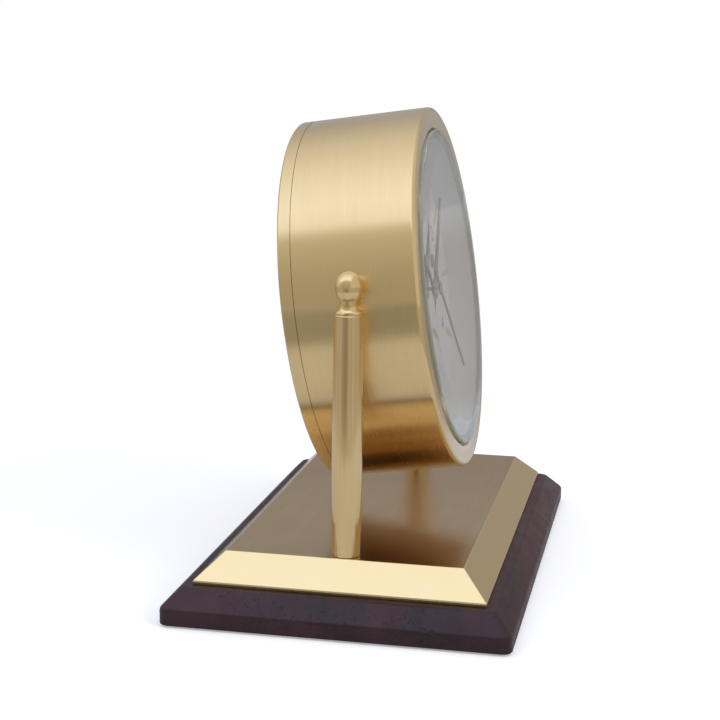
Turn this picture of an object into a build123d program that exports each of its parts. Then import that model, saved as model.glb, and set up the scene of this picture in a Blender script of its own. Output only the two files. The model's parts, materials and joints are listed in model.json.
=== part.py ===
from build123d import *
import os
from math import acos, cos, degrees, radians, sin

# Desk clock with a calendar: a round brass drum that tilts between two turned posts, on a bevelled
# brass plate and a wooden base. Millimetres, +Z up, the front faces -Y, and the origin is the middle
# of the underside. The drum and all that it holds are drawn in the drum's own frame, with the dial
# facing +Z, 12 o'clock at +Y and 3 o'clock at +X, and are then turned and tilted into place.

# ---------------------------------------------------------------- sizes of the stand
felt_thickness = 1.2
felt_proud = 0.5
felt_inset = 5.0

base_depth = 100.0
base_side = 4.7
base_bevel_run = 5.2
base_bevel_rise = 5.4
base_round = 0.9

plate_margin = 2.85
plate_side = 1.15
plate_bevel_run = 7.6
plate_bevel_rise = 7.25
plate_underside_chamfer = 0.35
plate_past_post = 0.03

post_foot_radius = 4.07
post_belly_radius = 4.34
post_top_radius = 3.93
post_belly_height = 31.0
post_above_pivot = 2.95
post_edge_chamfer = 0.25

finial_base_radius = 3.76
finial_base_height = 0.45
finial_neck_radius = 2.5
finial_neck_height = 2.4
finial_cove_share = 0.22
finial_groove = 0.12
finial_ball_radius = 3.9
finial_ball_half_height = 4.55
finial_height = 11.9
finial_stud_radius = 1.0
finial_stud_length = 5.0

base_screw_radius = 2.0
base_screw_head_radius = 3.8
base_screw_head = 2.6
base_screw_length = 11.0
base_screw_inset_x = 26.0
base_screw_inset_y = 24.0
post_screw_radius = 2.0
post_screw_head_radius = 3.6
post_screw_head = 2.4
post_screw_reach = 8.0
thread_clearance = 0.02
screw_hole_spare = 0.5

# ---------------------------------------------------------------- sizes of the drum
drum_radius = 55.5
drum_length = 39.9
drum_tilt = 8.0
drum_wall = 1.6
drum_ground_gap = 10.85
drum_lip_round = 1.3
front_flange = 2.0
front_flange_width = 6.5
opening_chamfer = 0.3

rear_cover_depth = 4.0
rear_cover_wall = 1.4
rear_cover_chamfer = 0.45
rear_cover_seam = 0.15
spigot_wall = 1.2
spigot_length = 5.0
spigot_clearance = 0.08

pivot_screw_radius = 1.5
pivot_running = 0.05
pivot_head_radius = 2.8
pivot_head = 1.6
pivot_slot_width = 0.8
pivot_slot_depth = 0.7
pivot_screw_web = 0.25
pivot_washer_radius = 3.0
pivot_washer_thickness = 1.0
pivot_spot_depth = 0.3
pivot_gap = 0.32
pivot_block_radius = 5.0
pivot_block_depth = 3.0
pivot_block_clearance = 0.1
spring_washer_thickness = 0.5

pillar_radius = 1.6
pillar_wall_gap = 0.7
pillar_count = 3
case_screw_radius = 1.0
case_screw_head_radius = 1.9
case_screw_head = 1.2
case_screw_reach = 4.0

# ---------------------------------------------------------------- glass and dial
glass_clearance = 0.5
glass_edge = 2.5
glass_bevel_run = 6.7
glass_bevel_rise = 0.6
glass_edge_chamfer = 0.25
gasket_thickness = 0.4
gasket_width = 2.6
gasket_inset = 0.1

surround_height = 8.0
surround_wall = 0.5
surround_lip = 3.6
surround_foot = 4.6
dial_thickness = 0.8
dial_clearance = 0.3
dial_hole_radius = 2.9
window_centre = 25.0
window_width = 5.2
window_height = 4.2

marker_count = 12
marker_length = 7.0
marker_width = 1.2
marker_height = 0.6
marker_gap = 2.4

# ---------------------------------------------------------------- calendar and motion works
dial_support_thickness = 2.0
calendar_radius = 31.0
calendar_flange_radius = 34.4
calendar_depth = 4.35
calendar_clearance = 0.2
calendar_floor = 1.0

date_ring_radius = 29.2
date_ring_thickness = 0.6
date_ring_teeth = 31
date_ring_module = 1.3
date_ring_front_gap = 0.15
date_ring_running = 0.1
works_pocket_radius = 18.6

tooth_root = 1.15
tooth_head = 0.85
tooth_foot_share = 0.30
tooth_tip_share = 0.10
ring_tooth_root = 0.95
ring_tooth_head = 0.50
ring_tooth_foot_share = 0.33
ring_tooth_tip_share = 0.12
setter_slack = 0.98

gear_width = 0.6
gear_gap = 0.2
set_arbor_gap = 0.3175
cannon_teeth = 12
minute_wheel_teeth = 36
minute_pinion_teeth = 10
hour_wheel_teeth = 40
hour_date_teeth = 21
date_wheel_teeth = 42
date_finger_reach = 8.0
date_finger_width = 1.2
date_finger_heading = 35.0
setter_teeth = 8

minute_wheel_heading = 160.0
date_wheel_heading = 215.0
setter_heading = 45.0

running = 0.05
seconds_arbor_radius = 0.5
minute_tube_wall = 1.0
hour_pipe_wall = 0.8
small_arbor_radius = 0.8
setter_arbor_radius = 1.0
hand_seat_step = 0.2
press = 0.01

# ---------------------------------------------------------------- hands
hand_thickness = 0.5
hour_hand_length = 27.0
hour_hand_tail = 8.0
hour_hand_width = 3.4
hour_hand_height = 1.5
minute_hand_length = 38.5
minute_hand_tail = 10.0
minute_hand_width = 2.8
minute_hand_height = 3.2
second_hand_length = 40.0
second_hand_tail = 13.0
second_hand_width = 0.9
second_hand_height = 4.9
second_counterweight_radius = 2.0
hand_tip_share = 0.55
hand_waist_share = 0.25
shown_hour = 10
shown_minute = 8
shown_second = 23
hour_boss_radius = 4.0
minute_boss_radius = 3.2
second_boss_radius = 2.2

# ---------------------------------------------------------------- movement
movement_size = 56.0
movement_height = 15.0
movement_wall = 1.2
movement_cover_thickness = 1.0
ear_x = 31.5
ear_y = 22.0
ear_radius = 3.5
ear_thickness = 2.2
movement_screw_radius = 1.0
movement_screw_head_radius = 2.2
movement_screw_head = 1.2

battery_radius = 7.25
battery_length = 50.0
battery_nub_radius = 2.75
battery_nub = 1.0
battery_clearance = 0.05
contact_thickness = 0.5
contact_width = 9.0
contact_pad_radius = 2.5

centre_module = 0.34
train_arbor_gap = 0.501
rotor_module = 0.4
centre_wheel_teeth = 48
third_pinion_teeth = 6
third_wheel_teeth = 45
second_pinion_teeth = 6
fourth_wheel_teeth = 36
fifth_pinion_teeth = 6
fifth_wheel_teeth = 30
rotor_pinion_teeth = 6
train_wheel_width = 0.8
train_pinion_width = 1.0
train_pinion_step = 0.1
train_pivot_reach = 0.7
train_pivot_hole = 0.8
centre_wheel_drop = 0.4
third_wheel_drop = 1.9
fourth_wheel_drop = 3.6
fifth_wheel_drop = 5.2
fifth_heading = 95.0
rotor_heading = 75.0
rotor_radius = 3.0
rotor_length = 2.0
rotor_drop = 3.0
stator_gap = 0.5
stator_thickness = 1.0
stator_half_width = 12.8
stator_leg = 2.4
stator_bar = 0.8
stator_arbor_gap = 0.25
stator_stud_x = 11.52
stator_stud_radius = 1.2
coil_radius = 3.0
coil_length = 16.0
coil_y = 22.8

bridge_width = 48.0
bridge_low_y = -9.5
bridge_high_y = 19.0
bridge_thickness = 1.0
bridge_drop = 7.6
bridge_pillar_radius = 1.5
bridge_pillar_x = 22.0
bridge_screw_radius = 0.7
bridge_screw_head_radius = 1.4
bridge_screw_head = 0.8
board_thickness = 0.8
board_high_y = 8.0
chip_size = 3.2
chip_thickness = 0.8
chip_x = 12.0
crystal_radius = 1.0
crystal_length = 6.0
crystal_at = (-9.6, -4.75)

knob_gap = 0.3
knob_thickness = 4.5
set_knob_radius = 5.0
date_knob_radius = 3.6
knob_ribs = 18

# ---------------------------------------------------------------- places that follow from the sizes
OVERLAP = 1.0

post_x = drum_radius + pivot_gap + post_top_radius
plate_width = 2 * (post_x + post_foot_radius + plate_past_post + plate_bevel_run)
base_width = plate_width + 2 * (plate_margin + base_bevel_run)
plate_depth = base_depth - 2 * (plate_margin + base_bevel_run)
wood_top = felt_proud + base_side + base_bevel_rise
plate_top = wood_top + plate_side + plate_bevel_rise
pivot_z = plate_top + drum_ground_gap + drum_radius
post_top = pivot_z + post_above_pivot
pivot_washer_face = drum_radius - pivot_spot_depth + pivot_washer_thickness
pivot_screw_tip = post_x - finial_stud_radius - pivot_screw_web

drum_inner = drum_radius - drum_wall
opening_radius = drum_radius - front_flange_width
front_plane = drum_length / 2
rear_plane = -drum_length / 2
seam_plane = rear_plane + rear_cover_depth
flange_back = front_plane - front_flange
dial_front = flange_back - surround_height
dial_back = dial_front - dial_thickness
support_back = dial_back - dial_support_thickness
pillar_circle = drum_inner - pillar_wall_gap - pillar_radius
dial_radius = drum_inner - dial_clearance

ring_front = dial_back - date_ring_front_gap
ring_back = ring_front - date_ring_thickness
date_level = ring_back - gear_gap - gear_width
hour_level = date_level - gear_gap - gear_width
cannon_level = hour_level - gear_gap - gear_width
calendar_back = dial_back - calendar_depth
calendar_floor_top = calendar_back + calendar_floor

movement_back = calendar_back - movement_height
movement_floor = calendar_back - movement_wall
stator_front = movement_floor - rotor_drop - (rotor_length - stator_thickness) / 2
bridge_front = movement_floor - bridge_drop
bridge_back = bridge_front - bridge_thickness
board_front = bridge_back - bridge_screw_head
board_back = board_front - board_thickness
knob_front = movement_back - movement_cover_thickness - knob_gap
knob_back = knob_front - knob_thickness

minute_tube_radius = seconds_arbor_radius + running + minute_tube_wall
hour_pipe_bore = minute_tube_radius + running
hour_pipe_radius = hour_pipe_bore + hour_pipe_wall

hour_hand_z = dial_front + hour_hand_height
minute_hand_z = dial_front + minute_hand_height
second_hand_z = dial_front + second_hand_height


def polar(distance, heading):
    """A point at a distance from the dial's centre, its heading counted from 3 o'clock."""
    return distance * cos(radians(heading)), distance * sin(radians(heading))


def tip_radius(module, teeth):
    """The radius over a gear's teeth."""
    return module * (teeth / 2 + tooth_head)


centre_wheel_tip = tip_radius(centre_module, centre_wheel_teeth)
fifth_distance = centre_wheel_tip + train_arbor_gap + seconds_arbor_radius
seconds_train_module = 2 * fifth_distance / (fifth_pinion_teeth + fourth_wheel_teeth)
fourth_wheel_tip = tip_radius(seconds_train_module, fourth_wheel_teeth)
train_reach = max(centre_wheel_tip, fourth_wheel_tip)
minute_wheel_distance = train_reach + set_arbor_gap + small_arbor_radius
motion_module = 2 * minute_wheel_distance / (cannon_teeth + minute_wheel_teeth)
minute_wheel_at = polar(minute_wheel_distance, minute_wheel_heading)
hour_module = 2 * minute_wheel_distance / (minute_pinion_teeth + hour_wheel_teeth)
date_wheel_distance = motion_module * (hour_date_teeth + date_wheel_teeth) / 2
date_wheel_at = polar(date_wheel_distance, date_wheel_heading)
setter_distance = date_ring_module * (date_ring_teeth - setter_teeth) / 2
setter_at = polar(setter_distance, setter_heading)

third_distance = centre_module * (third_pinion_teeth + centre_wheel_teeth) / 2
third_module = 2 * third_distance / (second_pinion_teeth + third_wheel_teeth)
third_at = (third_distance, 0.0)
fifth_at = polar(fifth_distance, fifth_heading)
rotor_distance = rotor_module * (rotor_pinion_teeth + fifth_wheel_teeth) / 2
rotor_step = polar(rotor_distance, rotor_heading)
rotor_at = (fifth_at[0] + rotor_step[0], fifth_at[1] + rotor_step[1])

battery_y = -movement_size / 2 + movement_wall + battery_clearance + battery_radius
bay_wall_y = battery_y + battery_radius + battery_clearance
battery_z = movement_floor - battery_clearance - battery_radius

case_frame = Pos(0, 0, pivot_z) * Rot(90 - drum_tilt, 0, 0)


# ---------------------------------------------------------------- building blocks
def disc(radius, low, high, at=(0, 0)):
    """An upright cylinder between two heights."""
    return Pos(at[0], at[1], (low + high) / 2) * Cylinder(radius, high - low)


def ring(outer, inner, low, high, at=(0, 0)):
    """A washer between two heights."""
    return disc(outer, low, high, at) - bore(inner, low, high, at)


def bore(radius, low, high, at=(0, 0)):
    """A cylinder that runs past two heights, to cut a hole through what lies between them."""
    return disc(radius, low - OVERLAP, high + OVERLAP, at)


def block(low, high):
    """A box between two opposite corners."""
    size = [high[i] - low[i] for i in range(3)]
    middle = [(high[i] + low[i]) / 2 for i in range(3)]
    return Pos(*middle) * Box(*size)


def turned(*edges):
    """A turned solid from the edges of a closed half profile in the XZ plane."""
    return revolve(make_face(Wire(edges)), Axis.Z)


def frustum_slab(width, depth, run, low, high):
    """A rectangular slab whose four sides lean in by run between two heights."""
    lower = Pos(0, 0, low) * Rectangle(width, depth)
    upper = Pos(0, 0, high) * Rectangle(width - 2 * run, depth - 2 * run)
    return loft([lower, upper])


def screw(shank, head, head_height, under_head, tip, at=(0, 0)):
    """A plain screw: its head lies below under_head and its shank reaches up to tip."""
    return disc(head, under_head - head_height, under_head, at) + disc(shank, under_head, tip, at)


def gear(teeth, module, low, high, phase=0.0, at=(0, 0)):
    """A spur gear with straight-flanked teeth, one of them centred on the phase angle."""
    pitch = teeth * module / 2
    step = 360 / teeth
    outline = []
    for tooth in range(teeth):
        centre = phase + tooth * step
        for side in (-1, 1):
            foot = polar(pitch - tooth_root * module, centre + side * tooth_foot_share * step)
            tip = polar(pitch + tooth_head * module, centre + side * tooth_tip_share * step)
            outline += [foot, tip] if side < 0 else [tip, foot]
    face = make_face(Polyline(*outline, close=True))
    return Pos(at[0], at[1], low) * extrude(face, high - low)


def tooth_towards(heading):
    """The phase that points a tooth at a heading."""
    return heading


def gap_towards(heading, teeth):
    """The phase that points a gap between two teeth at a heading."""
    return heading + 180 / teeth


# ---------------------------------------------------------------- stand
def make_base_felt():
    width = base_width - 2 * felt_inset
    depth = base_depth - 2 * felt_inset
    return block((-width / 2, -depth / 2, 0), (width / 2, depth / 2, felt_thickness))


def base_screw_places():
    x = plate_width / 2 - base_screw_inset_x
    y = plate_depth / 2 - base_screw_inset_y
    return [(sx * x, sy * y) for sx in (-1, 1) for sy in (-1, 1)]


def make_wood_base():
    side_top = felt_proud + base_side
    wood = block((-base_width / 2, -base_depth / 2, felt_proud), (base_width / 2, base_depth / 2, side_top))
    wood += frustum_slab(base_width, base_depth, base_bevel_run, side_top, wood_top)
    wood = fillet(wood.edges().filter_by(Axis.Z), base_round)
    top_edges = wood.edges().group_by(Axis.Z)[-1]
    wood = fillet(top_edges, base_round / 2)
    wood = chamfer(wood.edges().group_by(Axis.Z)[0], base_round / 2)
    felt_width = base_width - 2 * felt_inset
    felt_depth = base_depth - 2 * felt_inset
    wood -= block((-felt_width / 2, -felt_depth / 2, 0), (felt_width / 2, felt_depth / 2, felt_thickness))
    for at in base_screw_places():
        wood -= disc(base_screw_head_radius + thread_clearance, 0, felt_thickness + base_screw_head, at)
        wood -= disc(base_screw_radius + thread_clearance, 0, wood_top + OVERLAP, at)
    return wood


def make_base_screws():
    under_head = felt_thickness + base_screw_head
    tip = under_head + base_screw_length
    return [
        screw(base_screw_radius, base_screw_head_radius, base_screw_head, under_head, tip, at)
        for at in base_screw_places()
    ]


def make_top_plate():
    side_top = wood_top + plate_side
    half_x = plate_width / 2
    half_y = plate_depth / 2
    plate = block((-half_x, -half_y, wood_top), (half_x, half_y, side_top))
    plate = chamfer(plate.edges().group_by(Axis.Z)[0], plate_underside_chamfer)
    plate += frustum_slab(plate_width, plate_depth, plate_bevel_run, side_top, plate_top)
    hole_top = felt_thickness + base_screw_head + base_screw_length + screw_hole_spare
    for at in base_screw_places():
        plate -= disc(base_screw_radius + thread_clearance, wood_top - OVERLAP, hole_top, at)
    for side in (-1, 1):
        at = (side * post_x, 0)
        plate -= disc(post_screw_radius + thread_clearance, wood_top, plate_top + OVERLAP, at)
        plate -= disc(
            post_screw_head_radius + thread_clearance, wood_top - OVERLAP, wood_top + post_screw_head, at
        )
    return plate


def make_post_screws():
    under_head = wood_top + post_screw_head
    return [
        screw(
            post_screw_radius, post_screw_head_radius, post_screw_head, under_head,
            plate_top + post_screw_reach, (side * post_x, 0),
        )
        for side in (-1, 1)
    ]


def make_post(side):
    low = plate_top
    foot = post_foot_radius
    top = post_top_radius
    edge = post_edge_chamfer
    post = turned(
        Line((0, 0, low), (foot - edge, 0, low)),
        Line((foot - edge, 0, low), (foot, 0, low + edge)),
        ThreePointArc(
            (foot, 0, low + edge), (post_belly_radius, 0, low + post_belly_height), (top, 0, post_top - edge)
        ),
        Line((top, 0, post_top - edge), (top - edge, 0, post_top)),
        Line((top - edge, 0, post_top), (0, 0, post_top)),
        Line((0, 0, post_top), (0, 0, low)),
    )
    hole_top = low + post_screw_reach + screw_hole_spare
    post -= disc(post_screw_radius + thread_clearance, low - OVERLAP, hole_top)
    stud_foot = post_top - finial_stud_length - thread_clearance
    post -= disc(finial_stud_radius + thread_clearance, stud_foot, post_top + OVERLAP)
    post = Pos(side * post_x, 0, 0) * post
    screw_hole = disc(pivot_screw_radius + thread_clearance, pivot_washer_face, pivot_screw_tip)
    seat = disc(pivot_washer_radius + thread_clearance, drum_radius, pivot_washer_face)
    return post - on_pivot(screw_hole, side) - on_pivot(seat, side)


def on_pivot(shape, side):
    """Turns a shape drawn along +Z from the clock's middle onto the left (-1) or right (1) pivot."""
    return Pos(0, 0, pivot_z) * Rot(0, 90 * side, 0) * shape


def make_finial(side):
    """A round foot, a cove up to a grooved neck, and a ball a little taller than it is wide."""
    base = finial_base_radius
    neck = finial_neck_radius
    neck_top = finial_neck_height
    groove = finial_groove
    ball = finial_ball_radius
    stud = finial_stud_radius
    centre = finial_height - finial_ball_half_height
    ball_foot = -degrees(acos(neck / ball))
    outline = EllipticalCenterArc(
        (0, centre), ball, finial_ball_half_height, start_angle=ball_foot, arc_size=90 - ball_foot
    )
    oval = Plane.XZ * outline
    finial = turned(
        Line((0, 0, -finial_stud_length), (stud, 0, -finial_stud_length)),
        Line((stud, 0, -finial_stud_length), (stud, 0, 0)),
        Line((stud, 0, 0), (base, 0, 0)),
        Line((base, 0, 0), (base, 0, finial_base_height)),
        ThreePointArc(
            (base, 0, finial_base_height),
            (neck + finial_cove_share * (base - neck), 0, (finial_base_height + finial_neck_height) / 2),
            (neck, 0, neck_top),
        ),
        Line((neck, 0, neck_top), (neck - groove, 0, neck_top + groove)),
        Line((neck - groove, 0, neck_top + groove), (neck, 0, neck_top + 2 * groove)),
        Line((neck, 0, neck_top + 2 * groove), oval @ 0),
        oval,
        Line((0, 0, finial_height), (0, 0, -finial_stud_length)),
    )
    return Pos(side * post_x, 0, post_top) * finial


def make_pivot_screws():
    block_face = drum_inner - pivot_block_depth
    under_head = block_face - spring_washer_thickness
    body = screw(pivot_screw_radius, pivot_head_radius, pivot_head, under_head, pivot_screw_tip)
    low = under_head - pivot_head
    slot = block(
        (-pivot_head_radius, -pivot_slot_width / 2, low - OVERLAP),
        (pivot_head_radius, pivot_slot_width / 2, low + pivot_slot_depth),
    )
    return [on_pivot(body - slot, side) for side in (-1, 1)]


def make_pivot_washers():
    low = drum_radius - pivot_spot_depth
    washer = ring(pivot_washer_radius, pivot_screw_radius + running, low, low + pivot_washer_thickness)
    return [on_pivot(washer, side) for side in (-1, 1)]


def make_spring_washers():
    high = drum_inner - pivot_block_depth
    washer = ring(pivot_head_radius, pivot_screw_radius + running, high - spring_washer_thickness, high)
    return [on_pivot(washer, side) for side in (-1, 1)]


# ---------------------------------------------------------------- drum
def pillar_places():
    return [polar(pillar_circle, 90 + index * 360 / pillar_count) for index in range(pillar_count)]


def make_drum():
    drum = disc(drum_radius, seam_plane, front_plane)
    drum = fillet(drum.edges().group_by(Axis.Z)[-1], drum_lip_round)
    drum -= disc(drum_inner, seam_plane - OVERLAP, flange_back)
    drum -= disc(opening_radius, flange_back - OVERLAP, front_plane + OVERLAP)
    mouth = [edge for edge in drum.edges().group_by(Axis.Z)[-1] if edge.radius < opening_radius + OVERLAP]
    drum = chamfer(mouth, opening_chamfer)
    hole_top = dial_front + case_screw_reach + screw_hole_spare
    for at in pillar_places():
        drum += disc(pillar_radius, dial_front, flange_back + front_flange / 2, at)
        drum -= disc(case_screw_radius + thread_clearance, dial_front - OVERLAP, hole_top, at)
    spot = drum_radius - pivot_spot_depth
    for side in (-1, 1):
        turn = Rot(0, 90 * side, 0)
        drum -= turn * disc(pivot_screw_radius + pivot_running, drum_inner - OVERLAP, drum_radius + OVERLAP)
        drum -= turn * disc(pivot_washer_radius + pivot_running, spot, drum_radius + OVERLAP)
    return drum


def make_pivot_blocks():
    face = drum_inner - pivot_block_depth
    wall = bore(drum_inner - pivot_block_clearance, -pivot_block_radius, pivot_block_radius)
    blocks = []
    for side in (-1, 1):
        plug = ring(pivot_block_radius, pivot_screw_radius + pivot_running, face, drum_radius)
        blocks.append((Rot(0, 90 * side, 0) * plug) & wall)
    return blocks


def make_rear_cover():
    lid = disc(drum_radius, rear_plane, seam_plane - rear_cover_seam)
    lid = chamfer(lid.edges().group_by(Axis.Z)[0], rear_cover_chamfer)
    spigot_radius = drum_inner - spigot_clearance
    lid += disc(spigot_radius, seam_plane - rear_cover_seam - OVERLAP, seam_plane + spigot_length)
    hollow = spigot_radius - spigot_wall
    return lid - disc(hollow, rear_plane + rear_cover_wall, seam_plane + spigot_length + OVERLAP)


def make_glass():
    radius = opening_radius - glass_clearance
    flat = radius - glass_bevel_run
    low = flange_back + gasket_thickness
    edge = low + glass_edge
    top = edge + glass_bevel_rise
    nick = glass_edge_chamfer
    return turned(
        Line((0, 0, low), (radius, 0, low)),
        Line((radius, 0, low), (radius, 0, edge - nick)),
        Line((radius, 0, edge - nick), (radius - nick, 0, edge)),
        Line((radius - nick, 0, edge), (flat, 0, top)),
        Line((flat, 0, top), (0, 0, top)),
        Line((0, 0, top), (0, 0, low)),
    )


def make_glass_gasket():
    outer = opening_radius - glass_clearance - gasket_inset
    return ring(outer, outer - gasket_width, flange_back, flange_back + gasket_thickness)


def make_dial_surround():
    outer = pillar_circle - pillar_radius - surround_wall
    front = opening_radius - surround_lip
    foot = opening_radius - surround_foot
    return turned(
        Line((foot, 0, dial_front), (outer, 0, dial_front)),
        Line((outer, 0, dial_front), (outer, 0, flange_back)),
        Line((outer, 0, flange_back), (front, 0, flange_back)),
        Line((front, 0, flange_back), (foot, 0, dial_front)),
    )


def make_dial():
    dial = ring(dial_radius, dial_hole_radius, dial_back, dial_front)
    dial -= block(
        (window_centre - window_width / 2, -window_height / 2, dial_back - OVERLAP),
        (window_centre + window_width / 2, window_height / 2, dial_front + OVERLAP),
    )
    for at in pillar_places():
        dial -= bore(case_screw_radius + running, dial_back, dial_front, at)
    return dial


def make_hour_markers():
    outer = opening_radius - surround_foot - marker_gap
    bar = block(
        (outer - marker_length, -marker_width / 2, dial_front),
        (outer, marker_width / 2, dial_front + marker_height),
    )
    return [Rot(0, 0, index * 360 / marker_count) * bar for index in range(marker_count)]


def make_dial_support():
    plate = ring(dial_radius, calendar_radius + calendar_clearance, support_back, dial_back)
    for at in pillar_places():
        plate -= bore(case_screw_radius + running, support_back, dial_back, at)
    for at in movement_screw_places():
        plate -= bore(movement_screw_radius + thread_clearance, support_back, dial_back, at)
    return plate


def make_case_screws():
    tip = dial_front + case_screw_reach
    return [
        screw(case_screw_radius, case_screw_head_radius, case_screw_head, support_back, tip, at)
        for at in pillar_places()
    ]


# ---------------------------------------------------------------- calendar
def make_calendar_plate():
    plate = disc(calendar_radius, calendar_back, dial_back)
    plate += disc(calendar_flange_radius, calendar_back, support_back)
    plate -= disc(date_ring_radius + date_ring_running, ring_back - date_ring_front_gap, dial_back + OVERLAP)
    plate -= disc(works_pocket_radius, calendar_floor_top, dial_back + OVERLAP)
    wheel_tip = tip_radius(motion_module, date_wheel_teeth) + gear_gap
    plate -= disc(wheel_tip, date_level - gear_gap, dial_back, date_wheel_at)
    plate += disc(small_arbor_radius + gear_width, calendar_back, date_level - running, date_wheel_at)
    plate += disc(small_arbor_radius, calendar_back, ring_front, date_wheel_at)
    plate -= disc(minute_tube_radius + running, calendar_back - OVERLAP, dial_back)
    plate -= disc(small_arbor_radius + running, calendar_back - OVERLAP, dial_back, minute_wheel_at)
    plate -= disc(setter_arbor_radius + running, calendar_back - OVERLAP, dial_back, setter_at)
    return plate


def make_date_ring():
    """A flat ring with one inward tooth for each day, a gap between two of them at the setter."""
    module = date_ring_module
    pitch = module * date_ring_teeth / 2
    step = 360 / date_ring_teeth
    outline = []
    for tooth in range(date_ring_teeth):
        centre = tooth * step + setter_heading + step / 2
        for side in (-1, 1):
            foot = polar(pitch + ring_tooth_root * module, centre + side * ring_tooth_foot_share * step)
            tip = polar(pitch - ring_tooth_head * module, centre + side * ring_tooth_tip_share * step)
            outline += [foot, tip] if side < 0 else [tip, foot]
    hole = extrude(make_face(Polyline(*outline, close=True)), date_ring_thickness + 2 * OVERLAP)
    return disc(date_ring_radius, ring_back, ring_front) - Pos(0, 0, ring_back - OVERLAP) * hole


def make_date_setter():
    arbor = disc(setter_arbor_radius, knob_back, ring_front, setter_at)
    pinion = gear(
        setter_teeth, date_ring_module * setter_slack, ring_back, ring_front,
        tooth_towards(setter_heading), setter_at,
    )
    return arbor + pinion


def make_date_wheel():
    wheel = gear(
        date_wheel_teeth, motion_module, date_level, date_level + gear_width,
        gap_towards(date_wheel_heading + 180, date_wheel_teeth), date_wheel_at,
    )
    wheel += disc(2 * small_arbor_radius, date_level, ring_front, date_wheel_at)
    half = date_finger_width / 2
    finger = block((0, -half, ring_back), (date_finger_reach, half, ring_front))
    wheel += Pos(date_wheel_at[0], date_wheel_at[1], 0) * Rot(0, 0, date_finger_heading) * finger
    wheel += ring(
        date_finger_width, small_arbor_radius + running, date_level, ring_back + running, date_wheel_at
    )
    return wheel - disc(small_arbor_radius + running, date_level - OVERLAP, dial_back, date_wheel_at)


# ---------------------------------------------------------------- motion works
def make_hour_wheel():
    seat = hour_hand_z - running
    wheel = gear(
        hour_wheel_teeth, hour_module, hour_level, hour_level + gear_width,
        gap_towards(minute_wheel_heading, hour_wheel_teeth),
    )
    wheel += gear(
        hour_date_teeth, motion_module, date_level, date_level + gear_width, tooth_towards(date_wheel_heading)
    )
    wheel += disc(hour_pipe_radius, hour_level, seat)
    wheel += disc(hour_pipe_radius - hand_seat_step, seat, hour_hand_z + hand_thickness)
    return wheel - disc(hour_pipe_bore, hour_level - OVERLAP, second_hand_z)


def make_minute_wheel():
    wheel = gear(
        minute_wheel_teeth, motion_module, cannon_level, cannon_level + gear_width,
        gap_towards(minute_wheel_heading + 180, minute_wheel_teeth), minute_wheel_at,
    )
    wheel += gear(
        minute_pinion_teeth, hour_module, cannon_level + gear_width, hour_level + gear_width,
        tooth_towards(minute_wheel_heading + 180), minute_wheel_at,
    )
    return wheel + disc(small_arbor_radius, knob_back, hour_level + gear_width, minute_wheel_at)


def make_minute_arbor():
    seat = minute_hand_z - running
    low = movement_floor - centre_wheel_drop - train_wheel_width - running
    arbor = disc(minute_tube_radius, low, seat)
    arbor += disc(minute_tube_radius - hand_seat_step, seat, minute_hand_z + hand_thickness)
    arbor += gear(
        cannon_teeth, motion_module, cannon_level, cannon_level + gear_width,
        tooth_towards(minute_wheel_heading),
    )
    return arbor - disc(seconds_arbor_radius + running, low - OVERLAP, second_hand_z)


def make_knob(radius, at, arbor):
    knob = gear(knob_ribs, 2 * radius / (knob_ribs + 2), knob_back, knob_front, 0, at)
    return knob - bore(arbor + press, knob_back, knob_front, at)


# ---------------------------------------------------------------- hands
def make_hand(length, tail, width, low, boss, arbor):
    """A tapered baton hand that points at 12, with a round boss on its arbor."""
    tip = width * hand_tip_share / 2
    waist = length * hand_waist_share
    outline = Polyline(
        (-width / 2, -tail), (width / 2, -tail), (width / 2, waist), (tip, length - tip),
        (0, length), (-tip, length - tip), (-width / 2, waist), close=True,
    )
    hand = Pos(0, 0, low) * extrude(make_face(outline), hand_thickness)
    hand += disc(boss, low, low + hand_thickness)
    return hand - bore(arbor + press, low, low + hand_thickness)


def make_hour_hand():
    hand = make_hand(
        hour_hand_length, hour_hand_tail, hour_hand_width, hour_hand_z, hour_boss_radius,
        hour_pipe_radius - hand_seat_step,
    )
    return Rot(0, 0, -360 * (shown_hour + shown_minute / 60) / 12) * hand


def make_minute_hand():
    hand = make_hand(
        minute_hand_length, minute_hand_tail, minute_hand_width, minute_hand_z, minute_boss_radius,
        minute_tube_radius - hand_seat_step,
    )
    return Rot(0, 0, -360 * shown_minute / 60) * hand


def make_second_hand():
    hand = make_hand(
        second_hand_length, second_hand_tail, second_hand_width, second_hand_z, second_boss_radius,
        seconds_arbor_radius,
    )
    weight = disc(
        second_counterweight_radius, second_hand_z, second_hand_z + hand_thickness, (0, -second_hand_tail)
    )
    return Rot(0, 0, -360 * shown_second / 60) * (hand + weight)


# ---------------------------------------------------------------- movement
def movement_screw_places():
    return [(sx * ear_x, sy * ear_y) for sx in (-1, 1) for sy in (-1, 1)]


def bridge_pillar_places():
    low = bridge_low_y + 2 * bridge_pillar_radius
    high = bridge_high_y - 2 * bridge_pillar_radius
    return [(sx * bridge_pillar_x, y) for sx in (-1, 1) for y in (low, high)]


def train_places():
    return [(0, 0), third_at, fifth_at, rotor_at]


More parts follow.
